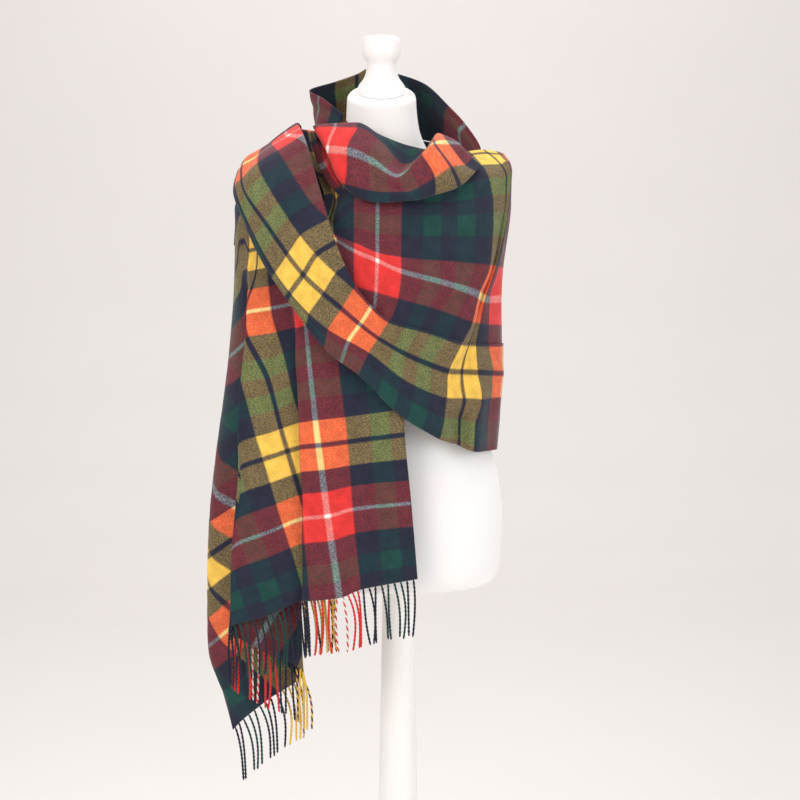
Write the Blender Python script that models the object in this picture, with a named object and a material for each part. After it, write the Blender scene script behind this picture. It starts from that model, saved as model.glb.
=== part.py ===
"""A tartan blanket scarf wound round a limbless dress form on a pole.

Metres, +Z up.  The origin is on the floor under the pole, and the form faces -Y, so +X is
the side on the right of someone who looks at its front.

The scarf is one rectangle of cloth.  A place on it has two cloth coordinates: s runs along
its length from the hem that hangs in front, and t runs across its width from the selvedge
at the neck.  Both are counted in CLOTH_UNIT.  Each stretch is a table with one row for each
fold or line of the cloth, and the surface is a smooth curve through those rows.
"""
import math
from collections import namedtuple

import bmesh
import bpy
import numpy as np

MM = 0.001
CLOTH_UNIT = 0.0016
CLOTH_WALL = 1.6 * MM
FRINGE_WALL = 3.0 * MM
FRINGE_REACH = 90 * MM
SEAM = 0.6 * MM
SEAT_GAP = 0.3 * MM

# ---------------------------------------------------------------- dress form and stand
FORM_SIDES = 36
TURNED_SIDES = 32
BASE_RADIUS = 180 * MM
BASE_THICK = 18 * MM
BASE_EDGE = 4 * MM
FLANGE_RADIUS = 48 * MM
FLANGE_HEIGHT = 16 * MM
POLE_FOOT_RADIUS = 40 * MM
POLE_TOP_RADIUS = 25 * MM
TORSO_BOTTOM = 815 * MM
NECK_TILT = math.radians(20)
CAP_SEAT = (-26 * MM, -2 * MM, 1601.2 * MM)

# One row for each level of the torso: its height, half width, half depth and the place of
# its middle, all in millimetres.
Level = namedtuple("Level", "z half_width half_depth mid_x mid_y")
TORSO_LEVELS = (
    Level(815, 120, 75, 0, 0),
    Level(820, 143, 93, 0, 0),
    Level(833, 158, 105, 0, 0),
    Level(855, 164, 110, 0, 0),
    Level(930, 167, 112, 0, 0),
    Level(990, 162, 108, -1, 0),
    Level(1060, 144, 98, -3, 0),
    Level(1130, 126, 90, -6, 0),
    Level(1210, 132, 96, -9, 0),
    Level(1290, 144, 108, -12, -2),
    Level(1360, 152, 102, -15, -2),
    Level(1420, 148, 86, -18, 0),
    Level(1450, 130, 77, -20, 2),
    Level(1474, 106, 70, -22, 4),
    Level(1496, 82, 64, -23, 5),
    Level(1518, 67, 59, -24, 4),
    Level(1545, 58, 56, -25, 2),
    Level(1575, 55, 54, -26, 0),
    Level(1592, 54, 53, -26, -1),
    Level(1602, 46, 46, -26, -2),
)

# One row for each ring of the turned cap on the neck: its height above the seat and radius.
Ring = namedtuple("Ring", "z radius")
CAP_RINGS = (
    Ring(0.5, 37), Ring(5, 37.5), Ring(12, 34), Ring(22, 27), Ring(34, 23.5),
    Ring(44, 23), Ring(50, 26), Ring(56, 29.5), Ring(66, 30.5), Ring(78, 29.5),
    Ring(84, 27), Ring(87, 20),
)

# ---------------------------------------------------------------- scarf tables
# One row for each fold or line: its t, then x, y and z in millimetres at every station.
# A t that changes along the row is given at every station too.
Fold = namedtuple("Fold", "line t x y z")

# The end that hangs in front: stations are s, from the hem up to the left shoulder.
FRONT_END_S = (0, 80, 150, 220, 290, 345, 400, 465)
FRONT_END = (
    Fold("selvedge", 0,
         (30, 20, 10, 5, -10, -30, -68, -80), (-150, -152, -152, -150, -144, -132, -112, -17),
         (855, 975, 1080, 1190, 1292, 1370, 1440, 1556)),
    Fold("green band", 53,
         (-57, -70, -77, -90, -100, -112, -130, -100), (-158, -160, -160, -156, -148, -132, -100, -24),
         (840, 967, 1070, 1177, 1282, 1362, 1442, 1526)),
    Fold("white line", 76,
         (-88, -106, -120, -132, -142, -146, -155, -107), (-160, -162, -162, -158, -148, -130, -97, -26),
         (828, 957, 1065, 1172, 1275, 1358, 1440, 1515)),
    Fold("above pleat", 98,
         (-131, -142, -147, -150, -153, -166, -180, -113), (-159, -160, -160, -156, -146, -128, -93, -27),
         (823, 953, 1062, 1166, 1272, 1355, 1438, 1505)),
    Fold("pleat edge", (109, 103, 100, 100, 100, 100, 100, 100),
         (-146, -145, -149, -152, -157, -170, -184, -117), (-155, -156, -156, -152, -144, -126, -91, -27),
         (822, 950, 1061, 1166, 1272, 1355, 1438, 1503)),
    Fold("pleat inside", (140, 126, 116, 105, 102, 102, 102, 102),
         (-98, -110, -126, -143, -160, -174, -188, -121), (-150, -150, -150, -147, -142, -124, -89, -26),
         (828, 956, 1064, 1166, 1272, 1354, 1437, 1501)),
    Fold("under pleat", (171, 149, 131, 111, 104, 104, 104, 104),
         (-142, -143, -147, -152, -163, -178, -192, -125), (-144, -145, -145, -143, -140, -122, -87, -25),
         (821, 951, 1060, 1166, 1271, 1354, 1437, 1499)),
    Fold("yellow line", (213, 185, 165, 146, 122, 119, 118, 118),
         (-203, -198, -196, -193, -192, -198, -212, -150), (-146, -148, -148, -146, -140, -120, -80, -19),
         (796, 930, 1045, 1150, 1265, 1346, 1432, 1490)),
    Fold("left fold", (255, 225, 198, 178, 143, 134, 131, 131),
         (-261, -255, -246, -242, -229, -225, -233, -175), (-138, -141, -141, -140, -134, -113, -70, -13),
         (773, 903, 1022, 1138, 1258, 1342, 1428, 1479)),
    Fold("behind left fold", (302, 258, 222, 193, 150, 138, 135, 135),
         (-205, -205, -211, -220, -223, -232, -239, -185), (-128, -131, -131, -131, -126, -106, -64, -11),
         (735, 880, 988, 1120, 1250, 1339, 1426, 1475)),
    Fold("right fold", (350, 290, 246, 208, 158, 142, 139, 139),
         (-147, -154, -171, -196, -213, -239, -245, -195), (-118, -120, -120, -121, -118, -99, -58, -9),
         (700, 855, 942, 1106, 1240, 1336, 1424, 1470)),
    Fold("side white line", (395, 350, 300, 245, 185, 148, 144, 144),
         (-203, -232, -236, -243, -240, -247, -252, -208), (-108, -104, -102, -104, -106, -88, -48, -5),
         (655, 795, 922, 1065, 1212, 1328, 1422, 1464)),
    Fold("side turn", (425, 405, 344, 273, 206, 160, 155, 155),
         (-248, -301, -299, -283, -263, -254, -256, -226), (-92, -72, -66, -64, -64, -58, -22, 1),
         (615, 733, 877, 1035, 1192, 1310, 1418, 1455)),
    Fold("side back", (437, 437, 400, 330, 265, 205, 190, 190),
         (-261, -294, -292, -281, -266, -256, -255, -256), (-86, -44, -14, -8, -4, 0, 14, 13),
         (600, 742, 908, 1062, 1220, 1332, 1432, 1438)),
)

# The wrap across the body and up over the left shoulder: stations are s, from the right side.
LOWER_WRAP_S = (700, 722, 766, 790, 815, 863, 911, 958, 1004, 1060, 1121, 1160, 1188)
LOWER_WRAP = (
    Fold("selvedge, turned in", 437,
         (158, 153, 125, 97, 68, 10, -52, -98, -153, -196, -232, -232, -215),
         (30, -18, -92, -110, -126, -156, -166, -170, -174, -150, -105, -42, -5),
         (1048, 1050, 1063, 1071, 1083, 1125, 1180, 1222, 1290, 1357, 1440, 1474, 1486)),
    Fold("lower edge", (430, 430, 430, 430, 428, 420, 412, 405, 395, 392, 390, 388, 386),
         (160, 156, 127, 96, 64, 4, -60, -110, -165, -210, -249, -250, -232),
         (32, -24, -104, -120, -138, -161.5, -174, -180, -184, -168, -120, -52, -8),
         (1036, 1038, 1053, 1060, 1069, 1108, 1170, 1212, 1284, 1354, 1444, 1472, 1490)),
    Fold("green and yellow", 384,
         (166, 161, 130, 100, 74, 15, -44, -104, -159, -205, -245, -245, -230),
         (32, -28, -106, -124, -144, -168, -180, -186, -190, -176, -128, -60, -12),
         (1120, 1123, 1125, 1128, 1133, 1159, 1205, 1240, 1294, 1363, 1450, 1480, 1497)),
    Fold("navy line", 360,
         (169, 163, 127, 100, 77, 20, -30, -84, -140, -190, -238, -238, -222),
         (32, -30, -108, -126, -144, -162, -180, -190, -193, -180, -130, -62, -14),
         (1156, 1160, 1170, 1170, 1175, 1196, 1226, 1270, 1320, 1388, 1460, 1492, 1507)),
    Fold("yellow and navy", 335,
         (169, 163, 122, 109, 95, 40, -15, -66, -120, -170, -211, -214, -203),
         (32, -30, -112, -124, -142, -162, -182, -190, -192, -180, -130, -62, -16),
         (1201, 1204, 1210, 1211, 1215, 1234, 1250, 1300, 1350, 1415, 1485, 1507, 1520)),
    Fold("fold over the chest", (333, 333, 333, 333, 333, 333, 333, 331, 322, 303, 288, 268, 262),
         (169, 163, 122, 109, 95, 40, -14, -63, -92, -116, -142, -152, -158),
         (32, -30, -112, -124, -142, -161, -181, -188, -184, -160, -112, -62, -20),
         (1204, 1207, 1213, 1214, 1218, 1237, 1253, 1305, 1368, 1445, 1528, 1545, 1552)),
)

# The upper part of the same wrap, from the right side to under the fold over the chest.
UPPER_WRAP_S = (700, 722, 766, 790, 815, 863, 911, 934, 958, 980, 1004, 1029)
UPPER_WRAP = (
    Fold("under the fold", (332.4,) * 7 + (333,) * 5,
         (169, 163, 122, 109, 95, 40, -14, -36, -62, -86, -110, -135),
         (32, -30, -112, -124, -142, -161, -181, -172, -168, -166, -164, -160),
         (1205.5, 1208.5, 1214.5, 1215.5, 1219.5, 1238.5, 1254.5, 1262, 1275, 1287, 1302, 1320)),
    Fold("red and navy", 313,
         (166, 161, 127, 121, 114, 56, 0, -32, -66, -86, -110, -134),
         (30, -26, -106, -112, -122, -156, -176, -172, -166, -162, -158, -152),
         (1235, 1238, 1244, 1246, 1250, 1270, 1286, 1295, 1305, 1328, 1350, 1370)),
    Fold("white line", 290,
         (165, 162, 146, 140, 126, 75, 4, -30, -66, -86, -106, -128),
         (30, -24, -88, -90, -108, -144, -170, -167, -160, -152, -144, -136),
         (1275, 1280, 1285, 1289, 1294, 1306, 1326, 1341, 1357, 1374, 1398, 1418)),
    Fold("red and navy above", 266,
         (170, 165, 152, 147, 139, 75, 4, -30, -66, -88, -108, -128),
         (30, -22, -78, -80, -96, -142, -166, -162, -150, -142, -132, -120),
         (1325, 1327, 1329, 1330, 1333, 1340, 1346, 1352, 1367, 1388, 1416, 1442)),
    Fold("green", 218,
         (180, 176, 170, 164, 146, 77, 5, -30, -66, -92, -114, -133),
         (30, -20, -52, -56, -84, -122, -144, -144, -136, -126, -110, -92),
         (1425, 1426, 1427, 1430, 1428, 1420, 1420, 1420, 1424, 1432, 1464, 1492)),
    Fold("under the roll", 175,
         (180, 177, 174, 168, 136, 80, 10, -26, -62, -90, -116, -138),
         (28, -16, -40, -46, -72, -102, -122, -124, -116, -106, -88, -70),
         (1478, 1480, 1479, 1472, 1475, 1466, 1462, 1460, 1462, 1475, 1505, 1524)),
    Fold("shoulder top", 140,
         (168, 166, 155, 136, 112, 76, 12, -28, -66, -92, -118, -138),
         (34, 2, -8, -14, -26, -52, -82, -84, -82, -74, -58, -40),
         (1502, 1505, 1508, 1510, 1506, 1498, 1490, 1486, 1490, 1500, 1522, 1538)),
)

# The roll under the chin: stations count from its right end to its left edge and the turn
# behind that edge, and s is given for every row.
Roll = namedtuple("Roll", "line t s x y z")
ROLL = (
    Roll("tucked in", 150, (768, 790, 815, 846, 874, 890, 903, 905),
         (108, 88, 56, 18, -20, -46, -62, -68), (-85, -107, -123, -139, -145, -142, -130, -120),
         (1487, 1470, 1458, 1450, 1448, 1454, 1461, 1470)),
    Roll("lower rim", 120, (766, 790, 815, 848, 875, 892, 905, 908),
         (118, 93, 55, 20, -21, -50, -69, -72), (-92, -120, -142, -156, -160, -154, -138, -121.4),
         (1475, 1452, 1440, 1431, 1427, 1434, 1446, 1456.2)),
    Roll("red edge", 100, (766, 790, 815, 854, 880, 898, 914, 918),
         (101, 80, 55, 12, -26, -55, -82, -84), (-98, -128, -148, -160, -160, -154, -136, -118),
         (1485, 1481, 1465, 1443, 1446, 1455, 1465, 1473)),
    Roll("white line", 76, (766, 790, 815, 857, 885, 911, 937, 945),
         (74, 56, 36, 0, -38, -77, -110, -108), (-86, -112, -138, -152, -142, -132, -112, -96),
         (1520, 1516, 1500, 1463, 1490, 1505, 1511, 1516)),
    Roll("red top", (62, 58, 53, 53, 53, 53, 53, 53), (768, 790, 815, 857, 885, 911, 955, 965),
         (66, 54, 42, 10, -26, -62, -121, -117), (-72, -84, -104, -118, -108, -102, -90, -74),
         (1530, 1524, 1505, 1484, 1520, 1540, 1541, 1543)),
    Roll("top edge", (55, 40, 8, 5, 32, 47, 50, 50), (770, 790, 815, 857, 885, 911, 955, 968),
         (62, 50, 41, 16, -27, -64, -124, -119), (-60, -66, -80, -96, -94, -88, -80, -66),
         (1534, 1520, 1509, 1514, 1530, 1549, 1546, 1549)),
)

# The selvedge that stands round the back of the neck: stations are s.
COLLAR_S = (465, 500, 530, 552, 576, 600, 626, 660, 697, 720, 744, 762)
COLLAR = (
    Fold("selvedge", 0,
         (-86, -120, -142, -102, -68, -42, -2, 42, 80, 106, 131, 130),
         (-8, 24, 56, 76, 90, 98, 96, 72, 42, 26, 8, -26),
         (1566, 1594, 1608, 1623, 1636, 1648, 1638, 1620, 1583, 1554, 1512, 1490)),
    Fold("navy and green", 30,
         (-93, -125, -138, -102, -68, -40, -4, 40, 74, 98, 124, 126),
         (-10, 26, 72, 94, 106, 112, 108, 84, 54, 36, 14, -20),
         (1546, 1568, 1578, 1594, 1606, 1612, 1608, 1594, 1566, 1542, 1503, 1480)),
    Fold("green band", 60,
         (-101, -130, -134, -98, -66, -38, -5, 38, 74, 100, 122, 126),
         (-14, 30, 86, 110, 120, 124, 120, 96, 68, 42, 20, -12),
         (1524, 1544, 1552, 1566, 1577, 1582, 1580, 1568, 1545, 1526, 1496, 1474)),
    Fold("base", 100,
         (-112, -137, -136, -98, -66, -36, -5, 36, 76, 106, 130, 140),
         (-16, 36, 96, 120, 130, 134, 130, 108, 80, 50, 24, -2),
         (1506, 1518, 1520, 1530, 1538, 1543, 1543, 1533, 1523, 1510, 1496, 1484)),
)

# The wrap across the back: one row for each line down the cloth, from the left side of the
# body to the right, with s and t at every level from the top to the lower selvedge.
Drop = namedtuple("Drop", "line s t x y z")
BACK_WRAP = (
    Drop("left side", (401, 290, 220, 150, 80), (190, 265, 330, 400, 437),
         (-256.8, -268.8, -284.2, -296.2, -298.2), (16.8, -2.2, -5, -9, -38.7), (1440, 1222, 1064, 910, 745)),
    Drop("left fall", (462, 390, 330, 280, 240), (102, 195, 285, 370, 437),
         (-118, -212, -238, -246, -236), (-14, 62, 74, 72, 62), (1508, 1400, 1230, 1060, 900)),
    Drop("left blade", (500, 480, 465, 450, 435), (102, 190, 275, 355, 437),
         (-138, -168, -176, -172, -160), (38, 108, 128, 130, 122), (1516, 1392, 1246, 1104, 955)),
    Drop("left of middle", (552, 550, 545, 542, 540), (102, 185, 270, 355, 437),
         (-98, -92, -86, -80, -72), (122, 142, 142, 146, 150), (1528, 1394, 1252, 1110, 975)),
    Drop("middle", (600, 600, 605, 610, 615), (102, 185, 270, 355, 437),
         (-36, -26, -16, -6, 4), (136, 146, 146, 148, 152), (1541, 1402, 1262, 1122, 990)),
    Drop("right of middle", (660, 660, 662, 665, 667), (102, 185, 270, 355, 437),
         (36, 50, 58, 64, 68), (110, 138, 142, 142, 142), (1531, 1404, 1268, 1130, 1005)),
    Drop("right blade", (685, 683, 683, 684, 684), (102, 190, 275, 360, 437),
         (84, 116, 118, 118, 116), (78, 104, 112, 110, 104), (1520, 1410, 1275, 1140, 1022)),
    Drop("right side", (699, 699, 699, 699, 699), (140, 214, 290, 362, 437),
         (167, 180, 165, 169, 158), (35.4, 31.4, 31.6, 33.2, 32.4), (1502, 1430, 1275, 1154, 1049)),
)

# The end that hangs behind the left shoulder: stations are s, from the shoulder to the hem.
BACK_END_S = (1189, 1215, 1250, 1291)
BACK_END = (
    Fold("outer edge", 386, (-232, -252, -264, -270), (-6, 62, 98, 106), (1490, 1476, 1425, 1360)),
    Fold("outer fold", 345, (-210, -228, -238, -242), (-13, 92, 130, 138), (1514, 1486, 1432, 1366)),
    Fold("valley", 300, (-183, -196, -204, -207), (-17, 84, 118, 124), (1536, 1492, 1440, 1374)),
    Fold("inner fold", 262, (-158, -170, -172, -172), (-18, 112, 156, 164), (1552, 1500, 1446, 1380)),
    Fold("gathered edge", 240, (-148, -152, -150, -148), (-20, 104, 148, 156),
         (1554, 1502, 1448, 1384)),
)

PALETTE = {
    "cream jersey": ((0.86, 0.85, 0.82), 0.75),
    "white lacquer": ((0.88, 0.87, 0.85), 0.35),
    "white painted wood": ((0.84, 0.82, 0.79), 0.45),
    "brushed wool tartan": ((0.10, 0.16, 0.14), 0.95),
    "wool fringe": ((0.12, 0.10, 0.13), 0.95),
}


def clear_scene():
    """Remove whatever objects the file holds."""
    for item in list(bpy.data.objects):
        bpy.data.objects.remove(item, do_unlink=True)


def finish(name):
    """Return the Principled material of that name."""
    colour, roughness = PALETTE[name]
    material = bpy.data.materials.get(name)
    if material is None:
        material = bpy.data.materials.new(name)
        material.use_nodes = True
        shader = material.node_tree.nodes["Principled BSDF"]
        shader.inputs["Base Color"].default_value = (*colour, 1.0)
        shader.inputs["Roughness"].default_value = roughness
        shader.inputs["Metallic"].default_value = 0.0
    return material


def add_object(name, mesh, material):
    """Put a finished mesh in the scene with its material."""
    piece = bpy.data.objects.new(name, mesh)
    bpy.context.scene.collection.objects.link(piece)
    mesh.materials.append(finish(material))
    return piece


# ---------------------------------------------------------------- closed rings
def stacked_rings(name, rings, material, sharp_angle=40):
    """Join rings of points, lowest first, into one closed solid with flat ends."""
    bm = bmesh.new()
    loops = []
    for ring in rings:
        loops.append([bm.verts.new(point) for point in ring])
    for lower, upper in zip(loops, loops[1:]):
        count = len(lower)
        for i in range(count):
            j = (i + 1) % count
            bm.faces.new((lower[i], lower[j], upper[j], upper[i]))
    bm.faces.new(list(reversed(loops[0])))
    bm.faces.new(loops[-1])
    bmesh.ops.recalc_face_normals(bm, faces=bm.faces)
    mesh = bpy.data.meshes.new(name)
    bm.to_mesh(mesh)
    bm.free()
    mesh.shade_smooth()
    mesh.set_sharp_from_angle(angle=math.radians(sharp_angle))
    return add_object(name, mesh, material)


def oval(level, sides):
    """Points of one oval level, counted anticlockwise from +X."""
    points = []
    for i in range(sides):
        turn = 2 * math.pi * i / sides
        points.append((
            (level.mid_x + level.half_width * math.cos(turn)) * MM,
            (level.mid_y + level.half_depth * math.sin(turn)) * MM,
            level.z * MM,
        ))
    return points


def circle(radius, z, sides=TURNED_SIDES):
    """Points of one level circle round the Z axis."""
    return [
        (radius * math.cos(2 * math.pi * i / sides), radius * math.sin(2 * math.pi * i / sides), z)
        for i in range(sides)
    ]


def build_torso():
    """The limbless body with its neck, whose top slopes down to the front."""
    rings = []
    for level in TORSO_LEVELS:
        ring = oval(level, FORM_SIDES)
        slope = max(0.0, (level.z - 1545) / (1602 - 1545)) * math.tan(NECK_TILT)
        rings.append([(x, y, z + y * slope) for x, y, z in ring])
    return stacked_rings("form_torso", rings, "cream jersey", sharp_angle=50)


def build_cap():
    """The turned cap and knob that close the neck."""
    seat_x, seat_y, seat_z = CAP_SEAT
    top = CAP_RINGS[-1].z
    rings = []
    for ring in CAP_RINGS:
        upright = min(1.0, ring.z / top)
        slope = math.tan(NECK_TILT) * (1 - upright)
        points = []
        for x, y, z in circle(ring.radius * MM, ring.z * MM):
            points.append((seat_x + x, seat_y + y, seat_z + z + y * slope))
        rings.append(points)
    return stacked_rings("form_cap", rings, "white lacquer")



def build_stand():
    """The turned pole and the round base that it stands on."""
    plate = (
        (BASE_RADIUS - BASE_EDGE, 0.0),
        (BASE_RADIUS, BASE_EDGE),
        (BASE_RADIUS, BASE_THICK - BASE_EDGE),
        (BASE_RADIUS - BASE_EDGE, BASE_THICK),
    )
    stacked_rings("stand_base", [circle(r, z) for r, z in plate], "white painted wood")
    foot = BASE_THICK + SEAT_GAP
    pole = (
        (FLANGE_RADIUS, foot),
        (FLANGE_RADIUS, foot + FLANGE_HEIGHT - 3 * MM),
        (FLANGE_RADIUS - 3 * MM, foot + FLANGE_HEIGHT),
        (POLE_FOOT_RADIUS, foot + FLANGE_HEIGHT + 2 * MM),
        (POLE_TOP_RADIUS, TORSO_BOTTOM - SEAT_GAP),
    )
    stacked_rings("stand_pole", [circle(r, z) for r, z in pole], "white painted wood")


# ---------------------------------------------------------------- cloth
def smooth_through(values, steps):
    """Curve through values along the first axis that never overshoots them.

    Fritsch-Carlson slopes keep a fold at the place that its table row gives.
    """
    values = np.asarray(values, dtype=float)
    rise = np.diff(values, axis=0)
    slope = np.zeros_like(values)
    product = rise[:-1] * rise[1:]
    total = rise[:-1] + rise[1:]
    safe = np.where(total == 0, 1.0, total)
    slope[1:-1] = np.where(product > 0, 2 * product / safe, 0.0)
    slope[0] = rise[0]
    slope[-1] = rise[-1]
    spans = len(values) - 1
    out = []
    for span in range(spans):
        last = span == spans - 1
        for step in range(steps + (1 if last else 0)):
            u = step / steps
            out.append(
                values[span] * (2 * u ** 3 - 3 * u ** 2 + 1)
                + slope[span] * (u ** 3 - 2 * u ** 2 + u)
                + values[span + 1] * (3 * u ** 2 - 2 * u ** 3)
                + slope[span + 1] * (u ** 3 - u ** 2)
            )
    return np.array(out)


def surface(folds, across, along):
    """Points of a stretch: the smooth surface through its table's rows, in metres."""
    net = np.array([np.column_stack((fold.x, fold.y, fold.z)) for fold in folds]) * MM
    lines = smooth_through(net, across)
    return np.swapaxes(smooth_through(np.swapaxes(lines, 0, 1), along), 0, 1)


def sheet(name, points, wall, material):
    """Lay a grid on those points and give it its wall, half to each side."""
    rows, columns = points.shape[:2]
    bm = bmesh.new()
    bmesh.ops.create_grid(bm, x_segments=columns - 1, y_segments=rows - 1, size=1.0)
    bm.verts.ensure_lookup_table()
    order = sorted(bm.verts, key=lambda v: (round(v.co.y, 5), round(v.co.x, 5)))
    for vertex, place in zip(order, points.reshape(-1, 3)):
        vertex.co = place
    mesh = bpy.data.meshes.new(name)
    bm.to_mesh(mesh)
    bm.free()
    mesh.shade_smooth()
    piece = add_object(name, mesh, material)
    shell = piece.modifiers.new("wall", "SOLIDIFY")
    shell.thickness = wall
    shell.offset = 0.0
    return piece


def stretch(name, folds, across, along):
    """One stretch of the scarf as a thin closed wall."""
    return sheet(name, surface(folds, across, along), CLOTH_WALL, "brushed wool tartan")


def fringe(name, hem, reach=FRINGE_REACH):
    """The space that a row of tassels fills, hanging straight down from a hem."""
    levels = [hem - np.array((0, 0, SEAM)), hem - np.array((0, 0, SEAM + reach))]
    return sheet(name, np.array(levels), FRINGE_WALL, "wool fringe")


def hem_between(folds, first, last, across, short_of_last=0):
    """Points of the hem between two of the folds, which may stop short of the last one."""
    names = [fold.line for fold in folds]
    chosen = folds[names.index(first):names.index(last) + 1]
    net = np.array([(fold.x[0], fold.y[0], fold.z[0]) for fold in chosen]) * MM
    points = smooth_through(net, across)
    return points[:len(points) - short_of_last]


def build_scarf():
    """Every stretch of the wound scarf that shows, and the reach of its fringes."""
    stretch("scarf_front_end", FRONT_END, 2, 2)
    stretch("scarf_lower_wrap", LOWER_WRAP, 2, 2)
    stretch("scarf_upper_wrap", UPPER_WRAP, 2, 2)
    stretch("scarf_neck_roll", ROLL, 2, 2)
    stretch("scarf_collar", COLLAR, 2, 2)
    stretch("scarf_back_wrap", BACK_WRAP, 3, 3)
    stretch("scarf_back_end", BACK_END, 2, 3)
    fringe("fringe_front", hem_between(FRONT_END, "selvedge", "above pleat", 2))
    fringe("fringe_left", hem_between(FRONT_END, "under pleat", "yellow line", 2))
    fringe("fringe_inner", hem_between(FRONT_END, "behind left fold", "right fold", 4, 1))
    fringe("fringe_side", hem_between(FRONT_END, "side white line", "side turn", 2))
    back_hem = np.array([(fold.x[-1], fold.y[-1], fold.z[-1]) for fold in BACK_END]) * MM
    fringe("fringe_back", smooth_through(back_hem, 2))


def main():
    """Build the form and its stand, then the scarf."""
    clear_scene()
    build_torso()
    build_cap()
    build_stand()
    build_scarf()


if __name__ == "__main__":
    main()
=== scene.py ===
"""Looks of a tartan blanket scarf wound round a limbless dress form on its pole.

Metres, +Z up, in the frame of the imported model: the origin is on the floor under the pole and
the form faces -Y, so +X is on the right of someone who looks at its front.

The scarf is one rectangle of brushed wool.  A place on it has two cloth coordinates, both in
cloth units: s runs along its length from the hem that hangs in front, and t across its width
from the selvedge at the neck.  Each stretch is a table with a row for each fold or line.
"""
import logging
import math
import random
from collections.abc import Iterable, Iterator
from dataclasses import dataclass
from enum import Enum

import bmesh
import bpy
import numpy as np
from mathutils import Matrix, Vector


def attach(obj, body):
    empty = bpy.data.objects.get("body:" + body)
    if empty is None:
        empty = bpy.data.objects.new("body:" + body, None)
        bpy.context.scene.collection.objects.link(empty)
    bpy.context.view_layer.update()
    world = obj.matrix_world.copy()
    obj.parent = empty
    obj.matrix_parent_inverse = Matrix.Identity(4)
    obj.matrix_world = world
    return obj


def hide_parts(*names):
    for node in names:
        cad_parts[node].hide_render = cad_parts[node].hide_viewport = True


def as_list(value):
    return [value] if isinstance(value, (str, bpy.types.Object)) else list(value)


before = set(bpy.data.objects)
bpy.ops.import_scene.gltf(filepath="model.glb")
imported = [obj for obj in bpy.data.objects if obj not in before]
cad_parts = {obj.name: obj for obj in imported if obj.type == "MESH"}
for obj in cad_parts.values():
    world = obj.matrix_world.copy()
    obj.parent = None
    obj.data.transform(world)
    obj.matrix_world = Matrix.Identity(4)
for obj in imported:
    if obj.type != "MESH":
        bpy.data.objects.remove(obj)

LOG = logging.getLogger("scarf")
MM = 0.001
CLOTH_UNIT = 0.0016
CLOTH_WALL = 1.7 * MM
CLOTH_MAP = "cloth"
BODY = "root"
DISPLAY_GAMMA = 2.2
CRISP_ANGLE = math.radians(35)
CAP_INSET = 1.5 * MM


# ------------------------------------------------------------------------ colours and nodes
def linear(hex_colour: str) -> tuple[float, float, float, float]:
    """Turn an sRGB hex colour into a linear colour.

    Args:
        hex_colour: six hex digits, such as "E8E4E2".

    Returns:
        Red, green, blue and an alpha of 1.
    """
    parts = []
    for place in (0, 2, 4):
        share = int(hex_colour[place:place + 2], 16) / 255
        parts.append(share / 12.92 if share <= 0.04045 else ((share + 0.055) / 1.055) ** 2.4)
    return (*parts, 1.0)


def feed(tree: bpy.types.NodeTree, node: bpy.types.Node, inputs: dict) -> None:
    """Give a node's inputs their values or the sockets that feed them.

    Args:
        tree: the material's node tree.
        node: the node.
        inputs: a value or a socket for each input, by name or number.
    """
    for socket, value in inputs.items():
        if isinstance(value, bpy.types.NodeSocket):
            tree.links.new(value, node.inputs[socket])
        else:
            node.inputs[socket].default_value = value


def add_node(tree: bpy.types.NodeTree, kind: str, inputs: dict | None = None,
             **settings: object) -> bpy.types.Node:
    """Add a node with its settings, input values and incoming links.

    Args:
        tree: the material's node tree.
        kind: the node's type, such as "ShaderNodeMix".
        inputs: what feeds its inputs.  Those of a Map Range node are 0 for the value, 1 and 2
            for the range that it comes from, and 3 and 4 for the one that it goes to.
        settings: the node's own properties.

    Returns:
        The new node.
    """
    node = tree.nodes.new(kind)
    for name, value in settings.items():
        setattr(node, name, value)
    feed(tree, node, inputs or {})
    return node


def set_ramp(node: bpy.types.Node, stops: list[tuple[float, tuple]]) -> bpy.types.Node:
    """Give a colour ramp its stops.

    Args:
        node: the ramp node.
        stops: place and colour of each stop, lowest first.

    Returns:
        The same node.
    """
    elements = node.color_ramp.elements
    while len(elements) > 1:
        elements.remove(elements[-1])
    elements[0].position, elements[0].color = stops[0]
    for place, colour in stops[1:]:
        elements.new(place).color = colour
    return node


def start_material(name: str) -> tuple[bpy.types.Material, bpy.types.NodeTree, bpy.types.Node]:
    """Start a material.

    Args:
        name: what the material is.

    Returns:
        The material, its node tree and its shader.
    """
    material = bpy.data.materials.new(name)
    material.use_nodes = True
    return material, material.node_tree, material.node_tree.nodes["Principled BSDF"]


# ------------------------------------------------------------------------ finishes
@dataclass(frozen=True)
class Band:
    """One stripe of the check.

    Args:
        dye: its sRGB hex colour.
        width: its width in cloth units.
    """

    dye: str
    width: float


@dataclass(frozen=True)
class Sett:
    """The order of stripes that repeats across or along the cloth.

    Args:
        start: place where a repeat starts, in cloth units.
        bands: the stripes of one repeat.
        blur: half the width of the soft change between two stripes, in cloth units.
    """

    start: float
    bands: tuple[Band, ...]
    blur: float = 0.55

    def repeat(self) -> float:
        """Width of one whole repeat in cloth units."""
        return sum(band.width for band in self.bands)

    def stops(self) -> list[tuple[float, tuple]]:
        """Find the ramp stops of one repeat.

        Returns:
            Place and colour of each stop, two for each soft change.
        """
        whole = self.repeat()
        edge = 0.0
        found = [(0.0, linear(self.bands[0].dye))]
        for band, after in zip(self.bands, self.bands[1:]):
            edge += band.width
            found.append(((edge - self.blur) / whole, linear(band.dye)))
            found.append(((edge + self.blur) / whole, linear(after.dye)))
        return found


NAVY, GREEN, RED, YELLOW, WHITE = "26293A", "1B4540", "DE3836", "F3C557", "F6F3EA"
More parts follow.
